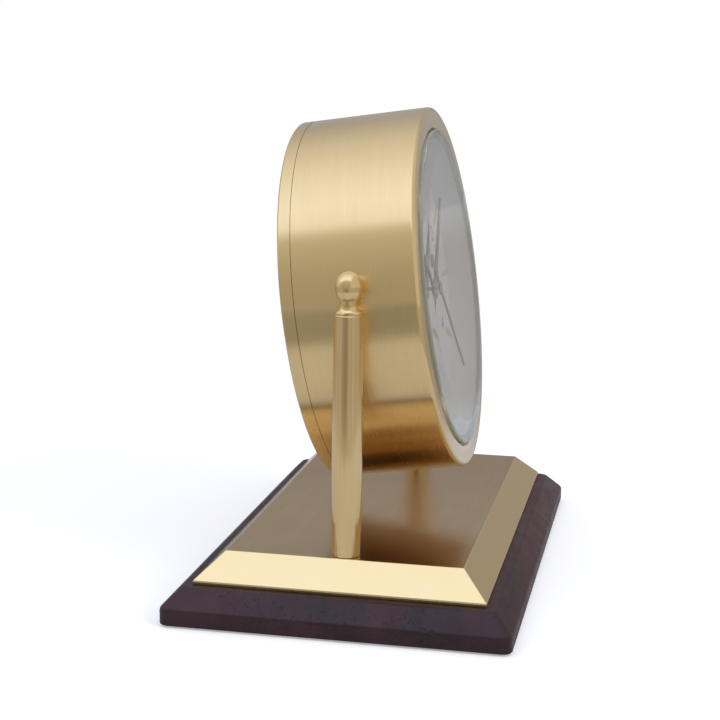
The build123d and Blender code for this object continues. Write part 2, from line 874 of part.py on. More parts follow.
def make_movement_housing():
    half = movement_size / 2
    inner = half - movement_wall
    housing = block((-half, -half, movement_back), (half, half, calendar_back))
    housing = fillet(housing.edges().filter_by(Axis.Z), 2 * movement_wall)
    below = movement_back - OVERLAP
    housing -= block((-inner, bay_wall_y + movement_wall, below), (inner, inner, movement_floor))
    housing -= block((-inner, -inner, below), (inner, bay_wall_y, movement_floor))
    ear_low = support_back - ear_thickness - (support_back - calendar_back)
    for x, y in movement_screw_places():
        side = 1 if x > 0 else -1
        arm_low = (min(side * inner, x), y - ear_radius, ear_low)
        arm_high = (max(side * inner, x), y + ear_radius, calendar_back)
        housing += block(arm_low, arm_high)
        housing += disc(ear_radius, ear_low, support_back, (x, y))
        housing -= bore(movement_screw_radius + thread_clearance, ear_low, support_back, (x, y))
    screw_end = movement_floor - OVERLAP
    for at in bridge_pillar_places():
        housing += disc(bridge_pillar_radius, bridge_front, movement_floor + running, at)
        housing -= disc(bridge_screw_radius + thread_clearance, bridge_front - OVERLAP, screw_end, at)
    for side in (-1, 1):
        at = (side * stator_stud_x, rotor_at[1] + rotor_radius)
        housing += disc(stator_stud_radius, stator_front, movement_floor + running, at)
    housing -= bore(minute_tube_radius + running, movement_floor, calendar_back)
    housing -= bore(small_arbor_radius + running, movement_floor, calendar_back, minute_wheel_at)
    housing -= bore(setter_arbor_radius + running, movement_floor, calendar_back, setter_at)
    for at in train_places()[1:]:
        pivot_hole = movement_floor + train_pivot_hole
        housing -= disc(seconds_arbor_radius + running, movement_floor - OVERLAP, pivot_hole, at)
    return housing


def make_movement_cover():
    half = movement_size / 2
    low = movement_back - movement_cover_thickness
    cover = block((-half, bay_wall_y + movement_wall / 2, low), (half, half, movement_back))
    cover -= bore(small_arbor_radius + 2 * running, low, movement_back, minute_wheel_at)
    return cover - bore(setter_arbor_radius + 2 * running, low, movement_back, setter_at)


def make_movement_screws():
    under_head = support_back - ear_thickness - (support_back - calendar_back)
    return [
        screw(
            movement_screw_radius, movement_screw_head_radius, movement_screw_head, under_head,
            dial_back - running, at,
        )
        for at in movement_screw_places()
    ]


def make_train_bridge():
    bridge = block(
        (-bridge_width / 2, bridge_low_y, bridge_back), (bridge_width / 2, bridge_high_y, bridge_front)
    )
    for at in bridge_pillar_places():
        bridge -= bore(bridge_screw_radius + running, bridge_back, bridge_front, at)
    for at in train_places():
        bridge -= bore(seconds_arbor_radius + running, bridge_back, bridge_front, at)
    bridge -= bore(small_arbor_radius + 2 * running, bridge_back, bridge_front, minute_wheel_at)
    return bridge - bore(setter_arbor_radius + 2 * running, bridge_back, bridge_front, setter_at)


def make_bridge_screws():
    tip = bridge_front + 3 * bridge_screw_head
    return [
        screw(bridge_screw_radius, bridge_screw_head_radius, bridge_screw_head, bridge_back, tip, at)
        for at in bridge_pillar_places()
    ]


def make_circuit_board():
    board = block(
        (-bridge_width / 2, bridge_low_y, board_back), (bridge_width / 2, board_high_y, board_front)
    )
    board -= bore(2 * small_arbor_radius, board_back, board_front, minute_wheel_at)
    chip = Pos(chip_x, 0, board_back - chip_thickness / 2) * Box(chip_size, chip_size, chip_thickness)
    return board + chip


def make_quartz_crystal():
    place = Pos(crystal_at[0], crystal_at[1], board_back - crystal_radius)
    return place * Rot(0, 90, 0) * Cylinder(crystal_radius, crystal_length)


def make_stator():
    """A stamped frame of three sides round the rotor, closed by the bar that carries the coil."""
    front = stator_front
    back = front - stator_thickness
    half = stator_half_width
    low_y = rotor_at[1] - rotor_radius - 3 * stator_gap
    bar_top = coil_y + stator_bar
    stator = block((-half, low_y, back), (half, coil_y - coil_radius - stator_gap, front))
    stator += block((-half, coil_y - stator_bar, back), (half, bar_top, front))
    for low, high in ((-half, -half + stator_leg), (half - stator_leg, half)):
        stator += block((low, low_y, back), (high, bar_top, front))
    stator -= bore(setter_arbor_radius + stator_arbor_gap, back, front, setter_at)
    return stator - bore(rotor_radius + stator_gap, back, front, rotor_at)


def make_coil():
    bar = stator_bar + running
    front = stator_front + running
    back = stator_front - stator_thickness - running
    coil = Pos(0, coil_y, (front + back) / 2) * Rot(0, 90, 0) * Cylinder(coil_radius, coil_length)
    return coil - block((-coil_length, coil_y - bar, back), (coil_length, coil_y + bar, front))


def make_arbor(at):
    return disc(seconds_arbor_radius, bridge_back + running, movement_floor + train_pivot_reach, at)


def make_centre_wheel():
    high = movement_floor - centre_wheel_drop
    wheel = gear(
        centre_wheel_teeth, centre_module, high - train_wheel_width, high, gap_towards(0, centre_wheel_teeth)
    )
    return wheel - disc(minute_tube_radius + running, high - 2 * train_wheel_width, high + OVERLAP)


def make_third_wheel():
    pinion_high = movement_floor - centre_wheel_drop + train_pinion_step
    high = movement_floor - third_wheel_drop
    wheel = gear(
        third_wheel_teeth, third_module, high - train_wheel_width, high, gap_towards(180, third_wheel_teeth),
        third_at,
    )
    wheel += gear(
        third_pinion_teeth, centre_module, pinion_high - train_pinion_width, pinion_high, tooth_towards(180),
        third_at,
    )
    return wheel + make_arbor(third_at)


def make_fourth_wheel():
    pinion_high = movement_floor - third_wheel_drop + train_pinion_step
    high = movement_floor - fourth_wheel_drop
    wheel = gear(
        fourth_wheel_teeth, seconds_train_module, high - train_wheel_width, high,
        gap_towards(fifth_heading, fourth_wheel_teeth),
    )
    wheel += gear(
        second_pinion_teeth, third_module, pinion_high - train_pinion_width, pinion_high, tooth_towards(0)
    )
    return wheel + disc(seconds_arbor_radius, bridge_back + running, second_hand_z + hand_thickness)


def make_fifth_wheel():
    pinion_high = movement_floor - fourth_wheel_drop + train_pinion_step
    high = movement_floor - fifth_wheel_drop
    wheel = gear(
        fifth_wheel_teeth, rotor_module, high - train_wheel_width, high,
        gap_towards(rotor_heading, fifth_wheel_teeth), fifth_at,
    )
    wheel += gear(
        fifth_pinion_teeth, seconds_train_module, pinion_high - train_pinion_width, pinion_high,
        tooth_towards(fifth_heading + 180), fifth_at,
    )
    return wheel + make_arbor(fifth_at)


def make_rotor():
    pinion_high = movement_floor - fifth_wheel_drop + train_pinion_step
    high = movement_floor - rotor_drop
    rotor = disc(rotor_radius, high - rotor_length, high, rotor_at)
    rotor += gear(
        rotor_pinion_teeth, rotor_module, pinion_high - train_pinion_width, high - rotor_length,
        tooth_towards(rotor_heading + 180), rotor_at,
    )
    return rotor + make_arbor(rotor_at)


def make_battery():
    half = battery_length / 2
    cell = Rot(0, 90, 0) * Cylinder(battery_radius, battery_length - 2 * battery_nub)
    nub = Pos(half - battery_nub / 2, 0, 0) * Rot(0, 90, 0) * Cylinder(battery_nub_radius, battery_nub)
    return Pos(0, battery_y, battery_z) * (cell + nub)


def make_battery_contacts():
    wall = movement_size / 2 - movement_wall
    contacts = []
    for side in (-1, 1):
        outer = side * wall
        inner = side * (wall - contact_thickness)
        plate = block(
            (min(outer, inner), battery_y - contact_width / 2, battery_z - contact_width / 2),
            (max(outer, inner), battery_y + contact_width / 2, battery_z + contact_width / 2),
        )
        end = battery_length / 2 - (battery_nub if side < 0 else 0)
        reach = wall - contact_thickness - end
        pad = Cylinder(contact_pad_radius, reach)
        plate += Pos(side * (end + reach / 2), battery_y, battery_z) * Rot(0, 90, 0) * pad
        contacts.append(plate)
    return contacts


# ---------------------------------------------------------------- the pieces, by the name of each node
stand = {
    "base_felt": make_base_felt(),
    "wood_base": make_wood_base(),
    "base_screws": make_base_screws(),
    "top_plate": make_top_plate(),
    "post_screws": make_post_screws(),
    "left_post": make_post(-1),
    "right_post": make_post(1),
    "left_finial": make_finial(-1),
    "right_finial": make_finial(1),
    "pivot_screws": make_pivot_screws(),
    "pivot_washers": make_pivot_washers(),
    "spring_washers": make_spring_washers(),
}

case = {
    "drum": make_drum(),
    "pivot_blocks": make_pivot_blocks(),
    "rear_cover": make_rear_cover(),
    "glass": make_glass(),
    "glass_gasket": make_glass_gasket(),
    "dial_surround": make_dial_surround(),
    "dial": make_dial(),
    "hour_markers": make_hour_markers(),
    "dial_support": make_dial_support(),
    "case_screws": make_case_screws(),
    "calendar_plate": make_calendar_plate(),
    "date_ring": make_date_ring(),
    "date_setter": make_date_setter(),
    "date_knob": make_knob(date_knob_radius, setter_at, setter_arbor_radius),
    "date_wheel": make_date_wheel(),
    "hour_wheel": make_hour_wheel(),
    "minute_wheel": make_minute_wheel(),
    "minute_arbor": make_minute_arbor(),
    "set_knob": make_knob(set_knob_radius, minute_wheel_at, small_arbor_radius),
    "hour_hand": make_hour_hand(),
    "minute_hand": make_minute_hand(),
    "second_hand": make_second_hand(),
    "movement_housing": make_movement_housing(),
    "movement_cover": make_movement_cover(),
    "movement_screws": make_movement_screws(),
    "train_bridge": make_train_bridge(),
    "bridge_screws": make_bridge_screws(),
    "circuit_board": make_circuit_board(),
    "quartz_crystal": make_quartz_crystal(),
    "stator": make_stator(),
    "coil": make_coil(),
    "centre_wheel": make_centre_wheel(),
    "third_wheel": make_third_wheel(),
    "fourth_wheel": make_fourth_wheel(),
    "fifth_wheel": make_fifth_wheel(),
    "rotor": make_rotor(),
    "battery": make_battery(),
    "battery_contacts": make_battery_contacts(),
}


def write(name, piece, place):
    """Writes one node, a solid or a group of like solids, at its place."""
    pieces = piece if isinstance(piece, list) else [piece]
    solids = []
    for item in pieces:
        solids.extend((place * item).solids())
    export_step(Compound(children=solids) if len(solids) > 1 else solids[0], f"parts/{name}.step")


os.makedirs("parts", exist_ok=True)
for node, shape in stand.items():
    write(node, shape, Location())
for node, shape in case.items():
    write(node, shape, case_frame)
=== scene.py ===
"""Looks of a round brass desk clock that tilts between two posts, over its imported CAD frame.

Lengths are metres in the frame's own axes: +Z up, the dial faces -Y and leans back, and the origin
is the middle of the underside. A size or a place comes from the frame wherever the frame has it.
"""

import json
import logging
import math
from collections.abc import Callable, Iterable, Sequence
from dataclasses import dataclass
from enum import Enum

import bpy
from mathutils import Matrix, Vector


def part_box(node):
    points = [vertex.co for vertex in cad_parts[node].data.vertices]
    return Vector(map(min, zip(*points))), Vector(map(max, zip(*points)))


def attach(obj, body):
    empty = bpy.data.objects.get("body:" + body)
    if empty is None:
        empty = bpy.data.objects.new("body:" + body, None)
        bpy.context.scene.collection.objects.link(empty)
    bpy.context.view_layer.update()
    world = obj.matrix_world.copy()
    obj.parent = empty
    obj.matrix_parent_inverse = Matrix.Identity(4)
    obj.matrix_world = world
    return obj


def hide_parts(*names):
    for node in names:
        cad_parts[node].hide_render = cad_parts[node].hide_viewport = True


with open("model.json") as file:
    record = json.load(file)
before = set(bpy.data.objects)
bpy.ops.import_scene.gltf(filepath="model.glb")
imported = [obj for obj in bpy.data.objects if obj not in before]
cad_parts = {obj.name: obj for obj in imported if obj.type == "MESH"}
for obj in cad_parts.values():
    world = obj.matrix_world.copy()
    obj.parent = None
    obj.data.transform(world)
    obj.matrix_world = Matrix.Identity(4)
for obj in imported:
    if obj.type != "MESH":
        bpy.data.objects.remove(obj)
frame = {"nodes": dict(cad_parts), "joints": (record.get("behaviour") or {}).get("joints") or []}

LOG = logging.getLogger("desk_clock")
MM = 0.001

Colour = tuple[float, float, float]
Point = tuple[float, float, float]
Range = tuple[float, float]
Socket = bpy.types.NodeSocket
Value = Socket | float | Sequence[float]
Piece = bpy.types.Object


# --- places read from the frame
def joint_named(name: str) -> dict:
    """The frame's joint of that name."""
    return next(joint for joint in frame["joints"] if joint["name"] == name)


def box_middle(node: str) -> Vector:
    """The middle of a CAD node's box."""
    low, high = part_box(node)
    return (low + high) / 2


PIVOT = Vector(joint_named("case_tilt")["pos_m"])
DRUM_BACKWARD = Vector(joint_named("rear_cover_pull")["axis"])
DRUM_TURN = math.atan2(DRUM_BACKWARD.y, -DRUM_BACKWARD.z)
POST_X = box_middle("right_post").x
DRUM_RADIUS = (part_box("drum")[1].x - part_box("drum")[0].x) / 2
DRUM_TO_WORLD = Matrix.Translation(PIVOT) @ Matrix.Rotation(DRUM_TURN, 4, "X")
MOUTH_RADIUS = 49.0 * MM
LIP_WIDTH = 1.6 * MM
RIM_WIDTH = 0.6 * MM
EDGE_DEPTH = 0.9 * MM
POST_RADIUS = (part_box("right_post")[1].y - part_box("right_post")[0].y) / 2
NOISE_SPAN = (0.3, 0.7)
NARROW_SPAN = (0.35, 0.65)
WHITE = (1.0, 1.0, 1.0, 1.0)


def depth_of(node: str) -> tuple[float, float]:
    """How far back and how far forward a CAD node reaches along the drum's axis, from the pivot.

    Args:
        node: The CAD node's name.

    Returns:
        The rearmost and the foremost place, in metres.
    """
    forward = -DRUM_BACKWARD
    reach = [(vertex.co - PIVOT).dot(forward) for vertex in frame["nodes"][node].data.vertices]
    return min(reach), max(reach)


DRUM_FRONT = depth_of("drum")[1]


# --- working at the bench
def clear_selection() -> None:
    """Leaves edit mode and deselects everything, so that an operator acts on one piece alone."""
    if bpy.context.object is not None and bpy.context.object.mode != "OBJECT":
        bpy.ops.object.mode_set(mode="OBJECT")
    bpy.ops.object.select_all(action="DESELECT")


def hold(piece: Piece) -> None:
    """Makes one piece the selected and active one.

    Args:
        piece: The piece.
    """
    clear_selection()
    piece.select_set(True)
    bpy.context.view_layer.objects.active = piece


def box_blank(name: str, low: Vector, high: Vector) -> Piece:
    """A box primitive between two corners, with its place in its mesh.

    Args:
        name: The piece's name.
        low: Lowest corner.
        high: Highest corner.

    Returns:
        The new piece, held.
    """
    clear_selection()
    bpy.ops.mesh.primitive_cube_add(size=1.0, location=(low + high) / 2)
    piece = bpy.context.object
    piece.name = name
    piece.scale = high - low
    bpy.ops.object.transform_apply(location=True, rotation=True, scale=True)
    return piece


def pick(piece: Piece, kind: str, wanted: Callable[[list[Vector]], bool]) -> None:
    """Selects a piece's faces or edges by a test of their corners and opens it in edit mode.

    Args:
        piece: The piece to edit.
        kind: FACE or EDGE.
        wanted: Says of the corners of a face or an edge whether it is picked.
    """
    hold(piece)
    bpy.ops.object.mode_set(mode="EDIT")
    bpy.ops.mesh.select_mode(type=kind)
    bpy.ops.mesh.select_all(action="DESELECT")
    bpy.ops.object.mode_set(mode="OBJECT")
    vertices = piece.data.vertices
    for part in piece.data.polygons if kind == "FACE" else piece.data.edges:
        part.select = wanted([vertices[index].co for index in part.vertices])
    bpy.ops.object.mode_set(mode="EDIT")


def raise_tapered(piece: Piece, rise: float, shrink: Range, about: Vector) -> None:
    """Extrudes the picked top upwards and draws it in on all four sides.

    Args:
        piece: The piece, with its top face picked in edit mode.
        rise: How far up the new top lies.
        shrink: Scale of the new top along X and Y.
        about: The point that it shrinks towards.
    """
    bpy.ops.mesh.extrude_region_move(TRANSFORM_OT_translate={"value": (0.0, 0.0, rise)})
    bpy.ops.transform.resize(value=(shrink[0], shrink[1], 1.0), center_override=about)
    bpy.ops.object.mode_set(mode="OBJECT")
    piece.data.update()


def round_edges(piece: Piece, width: float, segments: int, angle_deg: float = 20.0) -> None:
    """Rounds every edge sharper than an angle, and shades the piece smooth across the rounding.

    Args:
        piece: The piece to finish.
        width: Width of the rounding.
        segments: Facets across it.
        angle_deg: Edges flatter than this stay as they are.
    """
    hold(piece)
    bpy.ops.object.modifier_add(type="BEVEL")
    bevel = piece.modifiers[-1]
    bevel.width = width
    bevel.segments = segments
    bevel.limit_method = "ANGLE"
    bevel.angle_limit = math.radians(angle_deg)
    bevel.harden_normals = True
    bpy.ops.object.shade_smooth()
    bpy.ops.object.modifier_apply(modifier=bevel.name)


def bake_place(piece: Piece, place: Matrix) -> None:
    """Moves a piece and leaves the move in its mesh.

    Args:
        piece: The piece.
        place: The matrix that it is moved by.
    """
    hold(piece)
    piece.matrix_world = place @ piece.matrix_world
    bpy.ops.object.transform_apply(location=True, rotation=True, scale=True)


def join_pieces(name: str, pieces: Sequence[Piece]) -> Piece:
    """Joins several pieces into one.

    Args:
        name: The name of the whole.
        pieces: One or more pieces.

    Returns:
        The whole.
    """
    hold(pieces[0])
    for piece in pieces[1:]:
        piece.select_set(True)
    if len(pieces) > 1:
        bpy.ops.object.join()
    pieces[0].name = name
    return pieces[0]


def set_type(name: str, words: str, height: float, thickness: float) -> Piece:
    """A printed number as a thin raised mesh, centred on the origin and read from +Z.

    Args:
        name: The piece's name.
        words: The digits.
        height: Height of the type.
        thickness: How far the ink stands off the surface.

    Returns:
        The new piece.
    """
    clear_selection()
    bpy.ops.object.text_add(location=(0.0, 0.0, 0.0))
    text = bpy.context.object
    text.data.body = words
    text.data.size = height
    text.data.extrude = thickness / 2
    text.data.resolution_u = 4
    text.data.align_x = "CENTER"
    text.data.align_y = "CENTER"
    bpy.ops.object.convert(target="MESH")
    piece = bpy.context.object
    piece.name = name
    corners = [vertex.co for vertex in piece.data.vertices]
    middle_x = (min(c.x for c in corners) + max(c.x for c in corners)) / 2
    middle_y = (min(c.y for c in corners) + max(c.y for c in corners)) / 2
    bake_place(piece, Matrix.Translation((-middle_x, -middle_y, thickness / 2)))
    return piece


# --- shader sheets
class NodeSheet:
    """A node tree, and short ways to add and join nodes."""

    def __init__(self, tree: bpy.types.NodeTree) -> None:
        """Opens a tree."""
        self.tree = tree

    def join(self, source: Socket, target: Socket) -> None:
        """Joins an output to an input."""
        self.tree.links.new(source, target)

    def plug(self, value: Value, target: Socket) -> None:
        """Joins a socket to an input, or writes a plain value on it.

        Args:
            value: A socket or a plain value.
            target: The input.
        """
        if isinstance(value, bpy.types.NodeSocket):
            self.join(value, target)
        else:
            target.default_value = value

    def add(self, kind: str, **settings: object) -> bpy.types.Node:
        """Adds a node.

        Args:
            kind: The node's type.
            settings: Its options.

        Returns:
            The node.
        """
        node = self.tree.nodes.new(kind)
        for key, value in settings.items():
            setattr(node, key, value)
        return node

    def feed(self, kind: str, inputs: dict[str | int, Value], **settings: object) -> Socket:
        """Adds a node and feeds it.

        Args:
            kind: The node's type.
            inputs: Values by the names or places of its inputs.
            settings: Its options.

        Returns:
            Its first output that is in use.
        """
        node = self.add(kind, **settings)
        for key, value in inputs.items():
            self.plug(value, node.inputs[key])
        return next(output for output in node.outputs if output.enabled)

    def math(self, operation: str, *values: Value) -> Socket:
        """A Math node on one to three values."""
        return self.feed("ShaderNodeMath", dict(enumerate(values)), operation=operation)

    def share(self, first: Socket, second: Socket, part: float) -> Socket:
        """A sum of two values in which the first has that part."""
        rest = self.math("MULTIPLY", second, round(1.0 - part, 6))
        return self.math("MULTIPLY_ADD", first, part, rest)

    def vector(self, operation: str, *values: Value) -> Socket:
        """A Vector Math node on one or two vectors."""
        return self.feed("ShaderNodeVectorMath", dict(enumerate(values)), operation=operation)

    def coordinates(self, place: Matrix | None = None) -> Socket:
        """Object coordinates, read in the axes of a place.

        Args:
            place: Where the pattern's own origin and axes lie, or None for the object's.

        Returns:
            The vector socket.
        """
        source = self.add("ShaderNodeTexCoord").outputs["Object"]
        if place is None:
            return source
        inputs = {0: source, "Location": place.to_translation(), "Rotation": place.to_euler()}
        return self.feed("ShaderNodeMapping", inputs, vector_type="TEXTURE")

    def split(self, vector: Socket) -> tuple[Socket, Socket, Socket]:
        """The three parts of a vector.

        Args:
            vector: The vector.

        Returns:
            Its X, Y and Z.
        """
        node = self.add("ShaderNodeSeparateXYZ")
        self.join(vector, node.inputs[0])
        return node.outputs[0], node.outputs[1], node.outputs[2]

    def combine(self, *parts: Value) -> Socket:
        """A vector from three parts."""
        return self.feed("ShaderNodeCombineXYZ", dict(enumerate(parts)))

    def stretch(self, vector: Socket, scale: Sequence[float]) -> Socket:
        """A vector with each part scaled."""
        return self.vector("MULTIPLY", vector, scale)

    def noise(
        self, vector: Socket, scale: float, detail: float = 2.0, rough: float = 0.5
    ) -> Socket:
        """Noise between 0 and 1 over a vector."""
        inputs = {"Vector": vector, "Scale": scale, "Detail": detail, "Roughness": rough}
        return self.feed("ShaderNodeTexNoise", inputs)

    def cells(self, vector: Socket, scale: Point) -> Socket:
        """Distance to the nearest of many scattered points, in a stretched vector."""
        inputs = {"Vector": self.stretch(vector, scale), "Scale": 1.0}
        return self.feed("ShaderNodeTexVoronoi", inputs, feature="F1")

    def fit(self, value: Socket, source: Range, target: Range = (0.0, 1.0)) -> Socket:
        """A value brought smoothly from one range to another, held at its ends."""
        inputs = dict(enumerate((value, *source, *target)))
        return self.feed("ShaderNodeMapRange", inputs, interpolation_type="SMOOTHSTEP")

    def blend(self, share: Value, first: Value, second: Value) -> Socket:
        """A mix of two colours."""
        first, second = ((*c, 1.0) if isinstance(c, tuple) else c for c in (first, second))
        return self.feed("ShaderNodeMix", {0: share, 6: first, 7: second}, data_type="RGBA")

    def relief(self, height: Socket, distance: float, under: Socket | None = None) -> Socket:
        """A bump of that height, over another one or none.

        Args:
            height: Height map between 0 and 1.
            distance: Real height of 1, in metres.
            under: The normal that it lies on.

        Returns:
            The normal socket.
        """
        inputs = {"Strength": 1.0, "Distance": distance, "Height": height}
        if under is not None:
            inputs["Normal"] = under
        return self.feed("ShaderNodeBump", inputs)

    def rays(self, *kinds: str) -> Socket:
        """Tells rays of some kinds from all others.

        Args:
            kinds: Names of the light path's outputs.

        Returns:
            A socket that is 1 for rays of any of these kinds, or else 0.
        """
        path = self.add("ShaderNodeLightPath")
        met = path.outputs[kinds[0]]
        for kind in kinds[1:]:
            met = self.math("MAXIMUM", met, path.outputs[kind])
        return met


class ShaderSheet(NodeSheet):
    """A new material's tree around its Principled shader."""

    def __init__(self, name: str) -> None:
        """Opens a material.

        Args:
            name: The material's name.
        """
        self.material = bpy.data.materials.new(name)
        self.material.use_nodes = True
        super().__init__(self.material.node_tree)
        self.shader = self.tree.nodes["Principled BSDF"]
        self.output = self.tree.nodes["Material Output"]

    def set(self, **values: Value) -> None:
        """Joins or writes values on the shader's own sockets, named with _ for a space."""
        for key, value in values.items():
            self.plug(value, self.shader.inputs[key.replace("_", " ")])

    def cover(self, share: Socket, over: Socket) -> None:
        """Lays another shader over the sheet's own by a share."""
        mixed = self.feed("ShaderNodeMixShader", {0: share, 1: self.shader.outputs[0], 2: over})
        self.join(mixed, self.output.inputs["Surface"])


# --- finishes
class Lay(Enum):
    """Which way the fine lines of a brushed or turned metal run."""

    ROUND_THE_DRUM = "round the drum"
    UP_THE_POSTS = "up the posts"
    ALONG_THE_PLATE = "along the plate"


@dataclass(frozen=True)
class BrushedBrass:
    """Lacquered champagne brass with fine lines, glossy or satin."""

    name: str
    lay: Lay
    tint: Colour = (0.85, 0.63, 0.30)
    deep_tint: Colour = (0.82, 0.595, 0.27)
    roughness: float = 0.25
    roughness_swing: float = 0.03
    streak: float = 0.85
    line_pitch: float = 0.22 * MM
    line_depth: float = 0.00006 * MM
    lacquer: float = 0.6
    lacquer_roughness: float = 0.16
    edge_gloss: float | None = None
    lip_fade: float = 0.5 * MM
    rim_fade: float = 0.4 * MM
    fine_share: float = 0.65
    line_share: float = 0.55
    cloud_scale: float = 55.0
    along_plate: float = 18.0
    along_post: float = 25.0
    round_drum: float = 2.2

    def material(self) -> bpy.types.Material:
        """Builds the brass: lines, a slow cloudiness, and a highlight that the lines draw out.

        Returns:
            The material.
        """
        sheet = ShaderSheet(self.name)
        along, across = self._lines(sheet)
        fine = sheet.noise(along, 1.0, 3.0, 0.6)
        broad = sheet.noise(sheet.stretch(along, self.broadly), 1.0, 1.0)
        cloud = sheet.noise(sheet.coordinates(), self.cloud_scale)
        lines = sheet.share(fine, broad, self.fine_share)
        share = sheet.share(lines, cloud, self.line_share)
        colour = sheet.blend(sheet.fit(share, NOISE_SPAN), self.deep_tint, self.tint)
        low = self.roughness - self.roughness_swing
        high = self.roughness + self.roughness_swing
        gloss = sheet.fit(lines, NOISE_SPAN, (high, low))
        if self.edge_gloss is not None:
            gloss = self._polish_edges(sheet, gloss)
        sheet.set(Base_Color=colour, Roughness=gloss, Tangent=across)
        sheet.set(Normal=sheet.relief(fine, self.line_depth))
        sheet.set(Metallic=1.0, Anisotropic=self.streak, Anisotropic_Rotation=0.25)
        sheet.set(Coat_Weight=self.lacquer, Coat_Roughness=self.lacquer_roughness)
        return sheet.material

    @property
    def broadly(self) -> Point:
        """How the lines' vector shrinks for the broad streaks between them."""
        return (0.2, 0.2, 1.0) if self.lay is Lay.UP_THE_POSTS else (1.0, 1.0, 0.13)

    def _polish_edges(self, sheet: ShaderSheet, gloss: Socket) -> Socket:
        """Lowers the roughness on the turned edges of the drum's mouth.

        Args:
            sheet: The brass's sheet.
            gloss: The roughness elsewhere.

        Returns:
            The roughness all over.
        """
        x, y, z = sheet.split(sheet.coordinates(DRUM_TO_WORLD))
        radius = sheet.vector("LENGTH", sheet.combine(x, y, 0.0))
        lip, rim = MOUTH_RADIUS + LIP_WIDTH, DRUM_RADIUS - RIM_WIDTH
        face = DRUM_FRONT - EDGE_DEPTH
        inner = sheet.fit(radius, (lip, lip + self.lip_fade), (1.0, 0.0))
        outer = sheet.fit(radius, (rim, rim + self.rim_fade))
        front = sheet.fit(z, (face - self.rim_fade, face))
        edge = sheet.math("MULTIPLY", sheet.math("MAXIMUM", inner, outer), front)
        kept = sheet.math("MULTIPLY", gloss, sheet.math("SUBTRACT", 1.0, edge))
        return sheet.math("MULTIPLY_ADD", edge, self.edge_gloss, kept)

    def _lines(self, sheet: ShaderSheet) -> tuple[Socket, Socket]:
        """Lays out the fine lines.

        Args:
            sheet: The brass's sheet.

        Returns:
            The vector that changes fast across the lines, and the way that they run.
        """
        count = 1.0 / self.line_pitch
        if self.lay is Lay.ALONG_THE_PLATE:
            place = sheet.stretch(sheet.coordinates(), (self.along_plate, 1.0, 1.0))
            x, y, z = sheet.split(place)
            lined = sheet.math("MULTIPLY", sheet.math("ADD", y, z), count)
            return sheet.combine(x, 0.0, lined), self._in_world(sheet, (1.0, 0.0, 0.0), None)
        if self.lay is Lay.UP_THE_POSTS:
            x, y, z = sheet.split(sheet.coordinates())
            off_post = sheet.math("SUBTRACT", sheet.math("ABSOLUTE", x), POST_X)
            x = sheet.math("MULTIPLY", off_post, sheet.math("SIGN", x))
            heading = sheet.vector("NORMALIZE", sheet.combine(x, y, 0.0))
            round_count = POST_RADIUS * count
            around = sheet.stretch(heading, (round_count, round_count, 0.0))
            upward = sheet.combine(0.0, 0.0, sheet.math("MULTIPLY", z, self.along_post))
            way = self._in_world(sheet, (0.0, 0.0, 1.0), None)
            return sheet.vector("ADD", around, upward), way
        x, y, z = sheet.split(sheet.coordinates(DRUM_TO_WORLD))
        flat = sheet.combine(x, y, 0.0)
        round_it = sheet.vector("NORMALIZE", flat)
        lined = sheet.math("MULTIPLY", sheet.math("ADD", sheet.vector("LENGTH", flat), z), count)
        around = sheet.stretch(round_it, (self.round_drum, self.round_drum, 0.0))
        along = sheet.vector("ADD", around, sheet.combine(0.0, 0.0, lined))
        tangent = sheet.vector("CROSS_PRODUCT", (0.0, 0.0, 1.0), round_it)
        return along, self._in_world(sheet, tangent, DRUM_TO_WORLD)

    @staticmethod
    def _in_world(sheet: ShaderSheet, way: Value, turn: Matrix | None) -> Socket:
        """Turns a direction in a pattern's axes to the world's, also where the piece is posed.

        Args:
            sheet: The brass's sheet.
            way: The direction.
            turn: The pattern's axes, or None for the object's.

        Returns:
            The direction in the world.
        """
        if turn is not None:
            inputs = {0: way, "Rotation": turn.to_euler()}
            way = sheet.feed("ShaderNodeMapping", inputs, vector_type="VECTOR")
        return sheet.feed(
            "ShaderNodeVectorTransform", {0: way}, vector_type="VECTOR",
            convert_from="OBJECT", convert_to="WORLD",
        )


